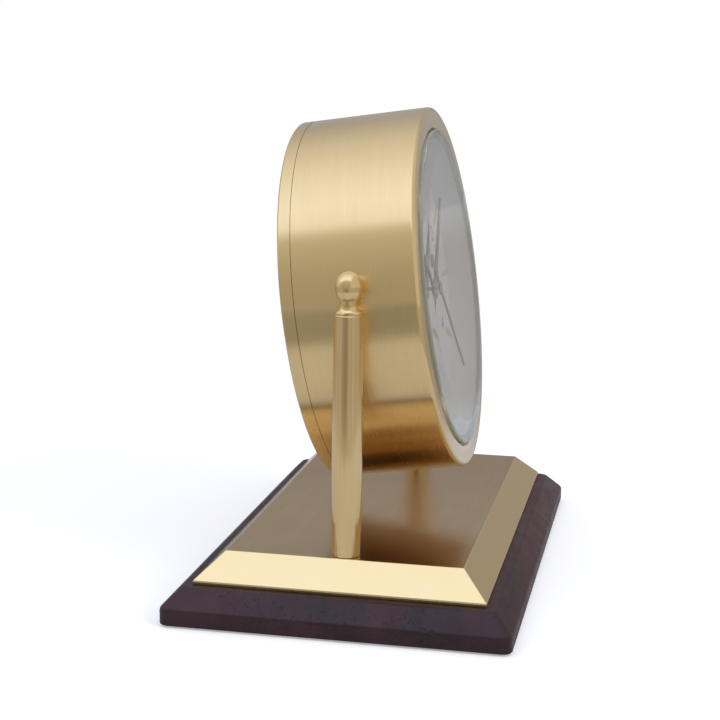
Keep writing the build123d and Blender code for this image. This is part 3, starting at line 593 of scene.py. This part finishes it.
@dataclass(frozen=True)
class DarkLacqueredWood:
    """Mahogany stained nearly black-red, under a satin lacquer with open pores."""

    name: str = "dark_lacquered_wood"
    dark: Colour = (0.015, 0.003, 0.005)
    light: Colour = (0.046, 0.009, 0.014)
    pore: Colour = (0.006, 0.003, 0.003)
    pore_depth: float = 0.10 * MM
    dent_depth: float = 0.18 * MM
    ripple_depth: float = 0.012 * MM
    figure_scale: Point = (9.0, 70.0, 70.0)
    fibre_scale: Point = (60.0, 1600.0, 1600.0)
    pore_scale: Point = (480.0, 900.0, 900.0)
    dent_scale: Point = (210.0, 300.0, 300.0)
    ripple_scale: float = 160.0
    pore_patch_scale: float = 45.0
    dent_patch_scale: float = 28.0
    pore_spread: Range = (0.46, 0.56)
    dent_spread: Range = (0.50, 0.58)
    pore_edge: Range = (0.12, 0.26)
    dent_edge: Range = (0.06, 0.22)
    stain_span: Range = (0.32, 0.68)
    figure_share: float = 0.7
    fibre_height: float = 0.06
    roughness: Range = (0.38, 0.48)

    def material(self) -> bpy.types.Material:
        """Builds the wood: long figure, fine fibre, scattered pores, and the lacquer over them.

        Returns:
            The material.
        """
        sheet = ShaderSheet(self.name)
        place = sheet.coordinates()
        figure = sheet.noise(sheet.stretch(place, self.figure_scale), 1.0, 3.0, 0.6)
        fibre = sheet.noise(sheet.stretch(place, self.fibre_scale), 1.0)
        share = sheet.share(figure, fibre, self.figure_share)
        stain = sheet.blend(sheet.fit(share, self.stain_span), self.dark, self.light)
        spread = sheet.noise(place, self.pore_patch_scale)
        pit = sheet.fit(sheet.cells(place, self.pore_scale), self.pore_edge, (1.0, 0.0))
        pores = sheet.math("MULTIPLY", pit, sheet.fit(spread, self.pore_spread))
        ripple = sheet.noise(place, self.ripple_scale)
        dent = sheet.fit(sheet.cells(place, self.dent_scale), self.dent_edge, (1.0, 0.0))
        knocked = sheet.fit(sheet.noise(place, self.dent_patch_scale, 1.0), self.dent_spread)
        dents = sheet.math("MULTIPLY", dent, knocked)
        skin = sheet.relief(ripple, self.ripple_depth)
        dented = sheet.relief(sheet.math("SUBTRACT", 1.0, dents), self.dent_depth, skin)
        grain = sheet.math("MULTIPLY", fibre, self.fibre_height)
        height = sheet.math("MULTIPLY_ADD", pores, -1.0, grain)
        sheet.set(Base_Color=sheet.blend(pores, stain, self.pore))
        sheet.set(Roughness=sheet.fit(ripple, NOISE_SPAN, self.roughness))
        sheet.set(Normal=sheet.relief(height, self.pore_depth, dented))
        sheet.set(IOR=1.45, Specular_IOR_Level=0.52, Coat_Weight=0.03, Coat_Roughness=0.25)
        return sheet.material


@dataclass(frozen=True)
class Felt:
    """Short green felt."""

    name: str = "green_felt"
    dark: Colour = (0.010, 0.028, 0.018)
    light: Colour = (0.028, 0.066, 0.042)
    fibre_scale: float = 2600.0
    patch_scale: float = 140.0
    fibre_share: float = 0.75
    pile: float = 0.15 * MM

    def material(self) -> bpy.types.Material:
        """Builds the felt: matted fibres that catch light at a low angle.

        Returns:
            The material.
        """
        sheet = ShaderSheet(self.name)
        place = sheet.coordinates()
        matted = sheet.noise(place, self.fibre_scale, 4.0, 0.7)
        share = sheet.share(matted, sheet.noise(place, self.patch_scale), self.fibre_share)
        colour = sheet.blend(sheet.fit(share, NARROW_SPAN), self.dark, self.light)
        sheet.set(Base_Color=colour, Normal=sheet.relief(matted, self.pile))
        sheet.set(Roughness=0.95, Sheen_Weight=0.4, Sheen_Roughness=0.5)
        return sheet.material


@dataclass(frozen=True)
class Crystal:
    """Clear bevelled glass with a ground edge.

    The pane bends light only a little and its gloss lies on it as a coat, because at a low angle
    light would be caught between the two faces of a bevelled pane and never come out.
    """

    name: str = "bevelled_glass"
    clear: Colour = (0.985, 0.972, 0.977)
    bevel: Colour = (0.89, 0.925, 0.905)
    edge: Colour = (0.60, 0.60, 0.50)
    bevel_radius: float = 41.8 * MM
    edge_radius: float = 48.2 * MM
    edge_fade: float = 0.2 * MM
    bevel_fade: float = 0.4 * MM
    bend: float = 1.03
    gloss: float = 1.5
    gloss_roughness: float = 0.02
    ground: float = 0.6
    ground_roughness: float = 0.5
    haze: float = 0.03
    smear_scale: float = 60.0
    smear_span: Range = (0.45, 0.75)

    def material(self) -> bpy.types.Material:
        """Builds the glass: clear, faintly green under the bevel, ground at the rim.

        A clear film stands in for it towards rays from the lamps, so that they reach the dial.

        Returns:
            The material.
        """
        sheet = ShaderSheet(self.name)
        x, y, _ = sheet.split(sheet.coordinates(DRUM_TO_WORLD))
        radius = sheet.vector("LENGTH", sheet.combine(x, y, 0.0))
        rim = sheet.fit(radius, (self.edge_radius, self.edge_radius + self.edge_fade))
        slope = sheet.fit(radius, (self.bevel_radius, self.bevel_radius + self.bevel_fade))
        smear = sheet.noise(sheet.coordinates(), self.smear_scale, 3.0)
        haze = sheet.fit(smear, self.smear_span, (0.0, self.haze))
        tint = sheet.blend(slope, self.clear, self.bevel)
        sheet.set(Base_Color=sheet.blend(rim, tint, self.edge))
        sheet.set(Roughness=sheet.math("MULTIPLY_ADD", rim, self.ground_roughness, haze))
        sheet.set(Transmission_Weight=sheet.fit(rim, (0.0, 1.0), (1.0, 1.0 - self.ground)))
        sheet.set(IOR=self.bend, Coat_Weight=1.0, Coat_IOR=self.gloss)
        sheet.set(Coat_Roughness=self.gloss_roughness)
        film = sheet.feed("ShaderNodeBsdfTransparent", {"Color": (*self.clear, 1.0)})
        sheet.cover(sheet.rays("Is Shadow Ray"), film)
        return sheet.material


@dataclass(frozen=True)
class PlainFinish:
    """Paint, plastic, sheet metal or paper whose colour, gloss and surface vary a little."""

    name: str
    tint: Colour
    second_tint: Colour
    roughness: float = 0.45
    metallic: float = 0.0
    grain_scale: float = 1200.0
    grain_depth: float = 0.004 * MM
    coat: float = 0.0
    broad_scale: float = 90.0
    broad_share: float = 0.6
    gloss_swing: float = 0.12

    def material(self) -> bpy.types.Material:
        """Builds the finish from a broad and a fine noise.

        Returns:
            The material.
        """
        sheet = ShaderSheet(self.name)
        place = sheet.coordinates()
        broad = sheet.noise(place, self.broad_scale)
        fine = sheet.noise(place, self.grain_scale)
        share = sheet.share(broad, fine, self.broad_share)
        colour = sheet.blend(sheet.fit(share, NARROW_SPAN), self.second_tint, self.tint)
        swing = self.gloss_swing * self.roughness
        rough = sheet.fit(fine, NOISE_SPAN, (self.roughness - swing, self.roughness + swing))
        sheet.set(Base_Color=colour, Roughness=rough)
        sheet.set(Normal=sheet.relief(fine, self.grain_depth))
        sheet.set(Metallic=self.metallic, Coat_Weight=self.coat)
        return sheet.material


def plain(name: str, tint: Colour, second_tint: Colour, *more: float) -> bpy.types.Material:
    """The material of a plain finish, from its values in order."""
    return PlainFinish(name, tint, second_tint, *more).material()


class Finishes:
    """Every finish of the clock, each made once."""

    def __init__(self) -> None:
        """Makes the materials."""
        self.drum = BrushedBrass("drum_brass", Lay.ROUND_THE_DRUM, edge_gloss=0.10).material()
        self.post = BrushedBrass(
            "post_brass", Lay.UP_THE_POSTS, deep_tint=(0.79, 0.565, 0.25), roughness=0.16,
            roughness_swing=0.05, streak=0.5, line_pitch=0.35 * MM, line_depth=0.0012 * MM,
        ).material()
        # The plate's top is a darker copy of the same brass: painted shade.
        self.plate = BrushedBrass(
            "plate_brass", Lay.ALONG_THE_PLATE, (0.61, 0.435, 0.245), (0.545, 0.38, 0.20),
            roughness=0.22, streak=0.8, line_depth=0.00012 * MM, lacquer=0.08,
        ).material()
        # The plate's slopes are a brighter copy of the same brass: a painted highlight.
        self.bevel = BrushedBrass(
            "bevel_brass_painted_highlight", Lay.ALONG_THE_PLATE, (0.90, 0.695, 0.345), (0.89, 0.685, 0.335),
            roughness=0.13, roughness_swing=0.02, streak=0.3, line_depth=0.00002 * MM, lacquer=0.1,
        ).material()
        self.wood = DarkLacqueredWood().material()
        self.felt = Felt().material()
        self.glass = Crystal().material()
        self.steel = self._steel("zinc_plated_steel", 0.30)
        self.sheet_steel = self._steel("rolled_sheet_steel", 0.38)
        self.nickel = self._steel("nickel_plate", 0.22)
        self.gear_brass = plain(
            "cut_gear_brass", (0.80, 0.62, 0.30), (0.68, 0.50, 0.22), 0.3, 1.0, 900.0
        )
        self.marker_brass = plain(
            "polished_marker", (0.86, 0.69, 0.38), (0.78, 0.60, 0.30), 0.16, 1.0, 700.0,
            0.0005 * MM,
        )
        self.dial = plain(
            "dial_white", (0.80, 0.79, 0.755), (0.765, 0.755, 0.72), 0.42, 0.0, 2400.0, 0.002 * MM
        )
        self.surround = plain(
            "surround_silver", (0.84, 0.83, 0.81), (0.80, 0.79, 0.77), 0.42, 0.2, 1500.0
        )
        self.ink = plain(
            "black_ink", (0.016, 0.015, 0.015), (0.030, 0.028, 0.027), 0.5, 0.0, 1800.0, 0.001 * MM
        )
        self.hand = plain(
            "black_hand", (0.014, 0.014, 0.015), (0.024, 0.023, 0.024), 0.28, 0.0, 1600.0,
            0.001 * MM, 0.5,
        )
        self.rubber = plain("pale_silicone", (0.50, 0.50, 0.47), (0.43, 0.43, 0.40), 0.6)
        self.nylon = plain("natural_nylon", (0.80, 0.78, 0.70), (0.72, 0.70, 0.62), 0.4)
        self.ring_white = plain("date_ring_white", (0.84, 0.83, 0.80), (0.79, 0.78, 0.75), 0.5)
        self.works = plain("moulded_works", (0.74, 0.73, 0.68), (0.66, 0.65, 0.60), 0.42)
        self.case_black = plain(
            "moulded_black", (0.022, 0.022, 0.024), (0.034, 0.034, 0.036), 0.5, 0.0, 2200.0,
            0.012 * MM,
        )
        self.knob = plain(
            "knob_black", (0.035, 0.035, 0.037), (0.050, 0.050, 0.052), 0.42, 0.0, 1600.0
        )
        self.board = plain(
            "green_board", (0.030, 0.155, 0.055), (0.020, 0.110, 0.040), 0.35, 0.0, 500.0,
            0.01 * MM, 0.6,
        )
        self.copper = plain(
            "enamelled_copper", (0.62, 0.25, 0.10), (0.45, 0.17, 0.07), 0.25, 1.0, 1400.0,
            0.02 * MM,
        )
        self.laminate = plain("silicon_steel", (0.24, 0.24, 0.25), (0.17, 0.17, 0.18), 0.4, 1.0)
        self.magnet = plain("sintered_magnet", (0.10, 0.095, 0.09), (0.07, 0.068, 0.065), 0.55)
        self.sleeve = plain(
            "cell_sleeve", (0.10, 0.11, 0.125), (0.075, 0.082, 0.095), 0.25, 0.0, 900.0,
            0.002 * MM, 0.7,
        )

    @staticmethod
    def _steel(name: str, roughness: float) -> bpy.types.Material:
        """Plated steel of a given roughness."""
        return plain(name, (0.66, 0.66, 0.65), (0.56, 0.56, 0.55), roughness, 1.0)


def dress(nodes: Iterable[str], finish: bpy.types.Material) -> None:
    """Gives CAD nodes a finish and says so in the log.

    Args:
        nodes: The nodes' names.
        finish: The material.
    """
    for name in nodes:
        mesh = frame["nodes"][name].data
        mesh.materials.clear()
        mesh.materials.append(finish)
        LOG.info("dressed %s in %s", name, finish.name)


def settle(piece: Piece, body: str, finish: bpy.types.Material) -> None:
    """Finishes a new piece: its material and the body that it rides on.

    Args:
        piece: The new piece.
        body: The CAD body that it moves with.
        finish: The material.
    """
    piece.data.materials.clear()
    piece.data.materials.append(finish)
    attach(piece, body)
    LOG.info("built %s on %s, %d faces", piece.name, body, len(piece.data.polygons))


# --- the stand
@dataclass
class Stand:
    """Wooden base, felt, bevelled brass plate, two posts with ball finials."""

    finishes: Finishes
    plate_side: float = 1.15 * MM
    plate_bevel_run: float = 7.6 * MM
    plate_rounding: float = 0.22 * MM
    base_side: float = 4.7 * MM
    base_bevel_run: float = 5.2 * MM
    base_rounding: float = 0.95 * MM
    corner_rounding: float = 2.4 * MM
    rounding_steps: int = 3
    sharp_deg: float = 25.0
    faces_up: float = 0.98
    level: float = 0.1 * MM

    def build(self) -> None:
        """Builds the base and the plate and dresses the rest."""
        plate = self._bevelled_slab(
            "brass_plate", "top_plate", self.plate_side, self.plate_bevel_run, 0.0,
            self.plate_rounding, self.finishes.plate,
        )
        plate.data.materials.append(self.finishes.bevel)
        # Flat faces take the darker brass (painted shade); slopes and sides take the brighter one
        # (painted highlight).
        for face in plate.data.polygons:
            face.material_index = 0 if abs(face.normal.z) > self.faces_up else 1
        self._bevelled_slab(
            "lacquered_base", "wood_base", self.base_side, self.base_bevel_run,
            self.corner_rounding, self.base_rounding, self.finishes.wood,
        )
        dress(["base_felt"], self.finishes.felt)
        dress(["left_post", "right_post", "left_finial", "right_finial"], self.finishes.post)
        dress(["base_screws", "post_screws", "pivot_screws", "spring_washers"], self.finishes.steel)
        dress(["pivot_washers"], self.finishes.nylon)

    def _bevelled_slab(
        self, name: str, node: str, side: float, run: float, corner: float, rounding: float,
        finish: bpy.types.Material,
    ) -> Piece:
        """A slab with four sloping sides that stands for a CAD node.

        Args:
            name: The new piece's name.
            node: The CAD node that it replaces.
            side: Height of the upright sides.
            run: How far in the slopes run.
            corner: Rounding of the upright corners, or 0.
            rounding: Rounding of every edge.
            finish: The material.

        Returns:
            The slab.
        """
        low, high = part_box(node)
        shoulder = Vector((high.x, high.y, low.z + side))
        slab = box_blank(name, low, shoulder)
        middle = low.z + side / 2
        pick(slab, "FACE", lambda corners: all(place.z > middle for place in corners))
        size = high - low
        shrink = (1.0 - 2.0 * run / size.x, 1.0 - 2.0 * run / size.y)
        raise_tapered(slab, high.z - shoulder.z, shrink, Vector((0.0, 0.0, high.z)))
        if corner:
            pick(slab, "EDGE", lambda ends: abs(ends[0].z - ends[1].z) > self.level)
            bpy.ops.mesh.bevel(offset=corner, segments=self.rounding_steps, offset_type="OFFSET")
            bpy.ops.object.mode_set(mode="OBJECT")
        round_edges(slab, rounding, self.rounding_steps, self.sharp_deg)
        settle(slab, "stand", finish)
        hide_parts(node)
        return slab


# --- the case
@dataclass
class DrumCase:
    """Brass drum, rear cover, bevelled glass and what holds them."""

    finishes: Finishes

    def build(self) -> None:
        """Dresses the case's nodes."""
        dress(["drum", "rear_cover", "pivot_blocks"], self.finishes.drum)
        dress(["glass"], self.finishes.glass)
        dress(["glass_gasket"], self.finishes.rubber)
        dress(["dial_surround"], self.finishes.surround)
        dress(["case_screws"], self.finishes.steel)


# --- the dial
@dataclass
class Dial:
    """Dial plate with a printed minute track and numerals, applied markers and three hands."""

    finishes: Finishes
    ink: float = 0.03 * MM
    track_outer: float = 43.9 * MM
    minute_tick: float = 1.1 * MM
    tick_width: float = 0.28 * MM
    five_tick_width: float = 0.75 * MM
    numeral_radius: float = 29.6 * MM
    numeral_height: float = 7.2 * MM
    window_hour: int = 3
    window_middle: float = 25.0 * MM
    window_size: Range = (5.2 * MM, 4.2 * MM)
    frame_border: float = 0.55 * MM
    frame_height: float = 0.22 * MM
    frame_rounding: float = 0.07 * MM
    minutes: int = 60
    hours: int = 12

    def build(self) -> None:
        """Prints the dial and dresses its nodes."""
        dress(["dial"], self.finishes.dial)
        dress(["dial_support"], self.finishes.sheet_steel)
        dress(["hour_markers"], self.finishes.marker_brass)
        dress(["hour_hand", "minute_hand", "second_hand"], self.finishes.hand)
        self.front = depth_of("dial")[1]
        self._print_track()
        self._print_numerals()
        self._frame_window()

    def _print_track(self) -> None:
        """Sixty ticks round the edge, with a heavier one at each hour."""
        ticks = []
        minutes_per_hour = self.minutes // self.hours
        for minute in range(self.minutes):
            width = self.tick_width if minute % minutes_per_hour else self.five_tick_width
            half = width / 2
            low = Vector((self.track_outer - self.minute_tick, -half, 0.0))
            tick = box_blank(f"tick_{minute}", low, Vector((self.track_outer, half, self.ink)))
            bake_place(tick, Matrix.Rotation(math.tau * minute / self.minutes, 4, "Z"))
            ticks.append(tick)
        self._lay_on_dial(join_pieces("minute_track", ticks), self.finishes.ink)

    def _print_numerals(self) -> None:
        """The hours, upright, inside the markers, with the window in place of one."""
        numerals = []
        for hour in range(1, self.hours + 1):
            if hour == self.window_hour:
                continue
            heading = math.radians(90 - 360 / self.hours * hour)
            numeral = set_type(f"hour_{hour}", str(hour), self.numeral_height, self.ink)
            across = self.numeral_radius * math.cos(heading)
            upward = self.numeral_radius * math.sin(heading)
            bake_place(numeral, Matrix.Translation((across, upward, 0.0)))
            numerals.append(numeral)
        self._lay_on_dial(join_pieces("hour_numerals", numerals), self.finishes.ink)

    def _frame_window(self) -> None:
        """A thin brass frame round the date's window: a plate, cut out, raised and rounded."""
        clear_selection()
        bpy.ops.mesh.primitive_plane_add(size=1.0, location=(self.window_middle, 0.0, 0.0))
        surround = bpy.context.object
        surround.name = "date_window_frame"
        width, height = self.window_size
        surround.scale = (width + 2 * self.frame_border, height + 2 * self.frame_border, 1.0)
        bpy.ops.object.transform_apply(location=True, rotation=True, scale=True)
        bpy.ops.object.mode_set(mode="EDIT")
        bpy.ops.mesh.select_mode(type="FACE")
        bpy.ops.mesh.select_all(action="SELECT")
        bpy.ops.mesh.inset(thickness=self.frame_border, depth=0.0)
        bpy.ops.mesh.delete(type="FACE")
        bpy.ops.mesh.select_all(action="SELECT")
        rise = {"value": (0.0, 0.0, self.frame_height)}
        bpy.ops.mesh.extrude_region_move(TRANSFORM_OT_translate=rise)
        bpy.ops.mesh.select_all(action="SELECT")
        bpy.ops.mesh.normals_make_consistent(inside=False)
        bpy.ops.object.mode_set(mode="OBJECT")
        round_edges(surround, self.frame_rounding, 2)
        self._lay_on_dial(surround, self.finishes.marker_brass)

    def _lay_on_dial(self, piece: Piece, finish: bpy.types.Material) -> None:
        """Lays a print or a frame on the dial's front and lets it ride with the case."""
        bake_place(piece, DRUM_TO_WORLD @ Matrix.Translation((0.0, 0.0, self.front)))
        settle(piece, "case", finish)


# --- calendar and movement
@dataclass
class Calendar:
    """Date ring with its printed days, setter, day wheel and the plate that carries them."""

    finishes: Finishes
    days: int = 31
    day_shown: int = 15
    window_radius: float = 25.0 * MM
    day_height: float = 4.0 * MM
    ink: float = 0.03 * MM

    def build(self) -> None:
        """Prints the days and dresses the nodes."""
        dress(["calendar_plate", "date_wheel", "date_setter"], self.finishes.works)
        dress(["date_ring"], self.finishes.ring_white)
        dress(["date_knob"], self.finishes.knob)
        front = depth_of("date_ring")[1]
        prints = []
        for day in range(1, self.days + 1):
            heading = math.tau * (day - self.day_shown) / self.days
            number = set_type(f"day_{day}", str(day), self.day_height, self.ink)
            out = Matrix.Translation((self.window_radius, 0.0, 0.0))
            bake_place(number, Matrix.Rotation(heading, 4, "Z") @ out)
            prints.append(number)
        printed = join_pieces("day_numbers", prints)
        bake_place(printed, DRUM_TO_WORLD @ Matrix.Translation((0.0, 0.0, front)))
        settle(printed, "date", self.finishes.ink)


@dataclass
class QuartzWorks:
    """Motion works, stepper train, cell and the housing round them."""

    finishes: Finishes

    def build(self) -> None:
        """Dresses every node of the works."""
        dress(["minute_arbor", "centre_wheel"], self.finishes.gear_brass)
        dress(["hour_wheel", "minute_wheel", "third_wheel", "fourth_wheel"], self.finishes.works)
        dress(["fifth_wheel", "train_bridge"], self.finishes.works)
        dress(["set_knob"], self.finishes.knob)
        dress(["movement_housing", "movement_cover"], self.finishes.case_black)
        dress(["movement_screws", "bridge_screws"], self.finishes.steel)
        dress(["quartz_crystal", "battery_contacts"], self.finishes.nickel)
        dress(["circuit_board"], self.finishes.board)
        dress(["stator"], self.finishes.laminate)
        dress(["coil"], self.finishes.copper)
        dress(["rotor"], self.finishes.magnet)
        dress(["battery"], self.finishes.sleeve)


# --- the studio
@dataclass
class Studio:
    """White table, a soft tent that shapes the light, and the camera at the photograph's angle."""

    camera_at: Point = (-0.48859, -0.09199, 0.16140)
    camera_right: Point = (0.20438, -0.97883, 0.01076)
    camera_up: Point = (0.18612, 0.04965, 0.98127)
    camera_back: Point = (-0.96103, -0.19855, 0.19233)
    lens: float = 80.475
    sensor: float = 36.0
    table_radius: float = 1.4
    fade_start: float = 0.22
    fade_end: float = 0.55
    table_white: Colour = (0.90, 0.885, 0.85)
    table_lift: float = 0.34
    mirrored_table: Colour = (0.68, 0.675, 0.66)
    tent_radius: float = 1.6
    world_light: float = 0.8
    arch: tuple[tuple[float, Colour], ...] = (
        (0.0, (0.39, 0.39, 0.39)), (20.0, (0.45, 0.45, 0.445)), (37.0, (0.54, 0.54, 0.54)),
        (47.0, (0.60, 0.61, 0.64)), (53.0, (1.04, 1.14, 1.46)), (66.0, (1.10, 1.21, 1.60)),
        (82.0, (1.01, 1.11, 1.42)), (100.0, (0.86, 0.93, 1.12)), (118.0, (0.71, 0.74, 0.82)),
        (134.0, (0.53, 0.54, 0.57)), (148.0, (0.42, 0.42, 0.44)), (180.0, (0.38, 0.38, 0.39)),
    )
    roof_shift: float = 0.22
    end_fade: Range = (0.52, 0.80)
    end_light: float = 0.64
    screen_radius: float = 0.243
    screen_height: float = 0.10
    screen_turnover: float = 0.6
    screen_foot: float = 0.48
    foot_top: float = -0.66
    horizon_from: Range = (0.6, 0.95)
    fold_scale: float = 3.4
    fold_span: Range = (0.38, 0.62)
    fold_light: Range = (0.86, 1.14)
    near_screen: float = 0.295
    far_screen: Colour = (0.365, 0.345, 0.34)
    screen_gap: Range = (0.03, 0.14)
    gap_middle: float = 0.04
    gap_sides: float = 1.6
    horizon_light: float = 0.47
    lamp_at: Point = (-0.55, -1.15, 0.90)
    lamp_size: float = 0.9
    lamp_power: float = 11.5

    def build(self) -> None:
        """Sets up the camera, world, table and tent."""
        self._camera()
        self._world()
        self._table()
        self._tent()
        self._screen()
        self._front_lamp()
        bpy.context.scene.view_settings.view_transform = "Standard"

    def _camera(self) -> None:
        """The camera, from its place and axes."""
        data = bpy.data.cameras.new("camera")
        data.lens = self.lens
        data.sensor_width = self.sensor
        data.clip_start = 0.01
        data.clip_end = 20.0
        camera = bpy.data.objects.new("camera", data)
        bpy.context.scene.collection.objects.link(camera)
        axes = Matrix((self.camera_right, self.camera_up, self.camera_back)).transposed()
        camera.matrix_world = Matrix.Translation(self.camera_at) @ axes.to_4x4()
        bpy.context.scene.camera = camera

    def _world(self) -> None:
        """A world that is white wherever it is seen, mirrored or looked at through glass."""
        world = bpy.data.worlds.new("white_world")
        bpy.context.scene.world = world
        world.use_nodes = True
        sheet = NodeSheet(world.node_tree)
        seen = sheet.rays("Is Camera Ray", "Is Glossy Ray", "Is Transmission Ray")
        strength = sheet.fit(seen, (0.0, 1.0), (self.world_light, 1.0))
        background = sheet.tree.nodes["Background"]
        background.inputs["Color"].default_value = WHITE
        sheet.join(strength, background.inputs["Strength"])

    def _table(self) -> None:
        """A white table that takes the clock's shadow and passes into the white world."""
        clear_selection()
        bpy.ops.mesh.primitive_circle_add(vertices=96, radius=self.table_radius, fill_type="NGON")
        table = bpy.context.object
        table.name = "white_table"
        sheet = ShaderSheet("white_table")
        sheet.set(Roughness=0.9, Specular_IOR_Level=0.1)
        distance = sheet.vector("LENGTH", sheet.coordinates())
        seen = sheet.rays("Is Camera Ray")
        mirrored = sheet.rays("Is Glossy Ray", "Is Transmission Ray")
        sheet.set(Base_Color=sheet.blend(mirrored, self.table_white, self.mirrored_table))
        fade = sheet.fit(distance, (self.fade_start, self.fade_end))
        far = sheet.math("MULTIPLY", fade, seen)
        lift = sheet.math("MULTIPLY", seen, self.table_lift)
        sheet.set(Emission_Color=WHITE, Emission_Strength=lift)
        sheet.cover(far, sheet.feed("ShaderNodeEmission", {"Color": WHITE}))
        table.data.materials.append(sheet.material)

    def _tent(self) -> None:
        """A tent of cloth: an arch of light from the camera's side over the roof to the far one."""
        clear_selection()
        bpy.ops.mesh.primitive_uv_sphere_add(segments=64, ring_count=32, radius=self.tent_radius)
        tent = bpy.context.object
        tent.name = "light_tent"
        tent.visible_camera = False
        sheet = ShaderSheet("light_tent")
        x, y, z = sheet.split(sheet.vector("NORMALIZE", sheet.coordinates()))
        turn = sheet.math("ARCTAN2", z, sheet.math("MULTIPLY", x, -1.0))
        ramp = sheet.add("ShaderNodeValToRGB")
        stops = ramp.color_ramp.elements
        while len(stops) < len(self.arch):
            stops.new(0.5)
        for stop, (angle, light) in zip(stops, self.arch):
            stop.position = angle / 180.0
            stop.color = (*light, 1.0)
        sheet.join(sheet.math("DIVIDE", turn, math.pi), ramp.inputs[0])
        off_middle = sheet.math("ABSOLUTE", sheet.math("SUBTRACT", y, self.roof_shift))
        ends = sheet.fit(off_middle, self.end_fade)
        self._glow(sheet, sheet.blend(ends, ramp.outputs[0], (self.end_light,) * 3))
        tent.data.materials.append(sheet.material)

    def _front_lamp(self) -> None:
        """A large soft lamp in front, on the camera's side, which gloss and glass don't show."""
        data = bpy.data.lights.new("front_lamp", "AREA")
        data.size = self.lamp_size
        data.energy = self.lamp_power
        lamp = bpy.data.objects.new("front_lamp", data)
        bpy.context.scene.collection.objects.link(lamp)
        lamp.location = self.lamp_at
        lamp.rotation_euler = Vector(self.lamp_at).to_track_quat("Z", "Y").to_euler()
        lamp.visible_camera = False
        lamp.visible_glossy = False
        lamp.visible_transmission = False

    def _screen(self) -> None:
        """A low grey screen that only gloss and glass show, darker on the camera's side."""
        clear_selection()
        bpy.ops.mesh.primitive_cylinder_add(
            vertices=96, radius=self.screen_radius, depth=self.screen_height,
            end_fill_type="NOTHING", location=(0.0, 0.0, self.screen_height / 2),
        )
        screen = bpy.context.object
        screen.name = "low_screen"
        screen.visible_camera = False
        screen.visible_diffuse = False
        screen.visible_shadow = False
        sheet = ShaderSheet("low_screen")
        x, y, z = sheet.split(sheet.coordinates())
        reach = self.screen_turnover * self.screen_radius
        aside = sheet.math("ABSOLUTE", sheet.math("SUBTRACT", y, self.gap_middle))
        side = sheet.fit(aside, self.screen_gap, (1.0, self.gap_sides))
        near = sheet.math("MULTIPLY", side, self.near_screen)
        heading = sheet.stretch(sheet.combine(x, y, 0.0), (1.0 / self.screen_radius,) * 3)
        cloth = sheet.noise(heading, self.fold_scale, 1.0)
        folds = sheet.fit(cloth, self.fold_span, self.fold_light)
        folded = sheet.math("MULTIPLY", near, folds)
        across = sheet.fit(x, (-reach, reach))
        middle = sheet.blend(across, sheet.combine(folded, folded, folded), self.far_screen)
        height = self.screen_height / 2
        foot = sheet.fit(z, (-height, self.foot_top * height), (1.0, 0.0))
        starts, ends = self.horizon_from
        top = sheet.fit(z, (starts * height, ends * height))
        grey = sheet.blend(foot, middle, (self.screen_foot,) * 3)
        self._glow(sheet, sheet.blend(top, grey, (self.horizon_light,) * 3))
        screen.data.materials.append(sheet.material)

    @staticmethod
    def _glow(sheet: ShaderSheet, light: Socket) -> None:
        """Makes a sheet glow by itself, without being sampled as a lamp.

        Args:
            sheet: The sheet.
            light: Its light.
        """
        cloth = sheet.feed("ShaderNodeEmission", {"Color": light})
        sheet.join(cloth, sheet.output.inputs["Surface"])
        sheet.material.cycles.emission_sampling = "NONE"


def main() -> None:
    """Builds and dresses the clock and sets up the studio."""
    logging.basicConfig(level=logging.INFO, format="%(name)s: %(message)s")
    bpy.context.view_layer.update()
    Studio().build()
    finishes = Finishes()
    Stand(finishes).build()
    DrumCase(finishes).build()
    Dial(finishes).build()
    Calendar(finishes).build()
    QuartzWorks(finishes).build()
    clear_selection()


if __name__ == "__main__":
    main()
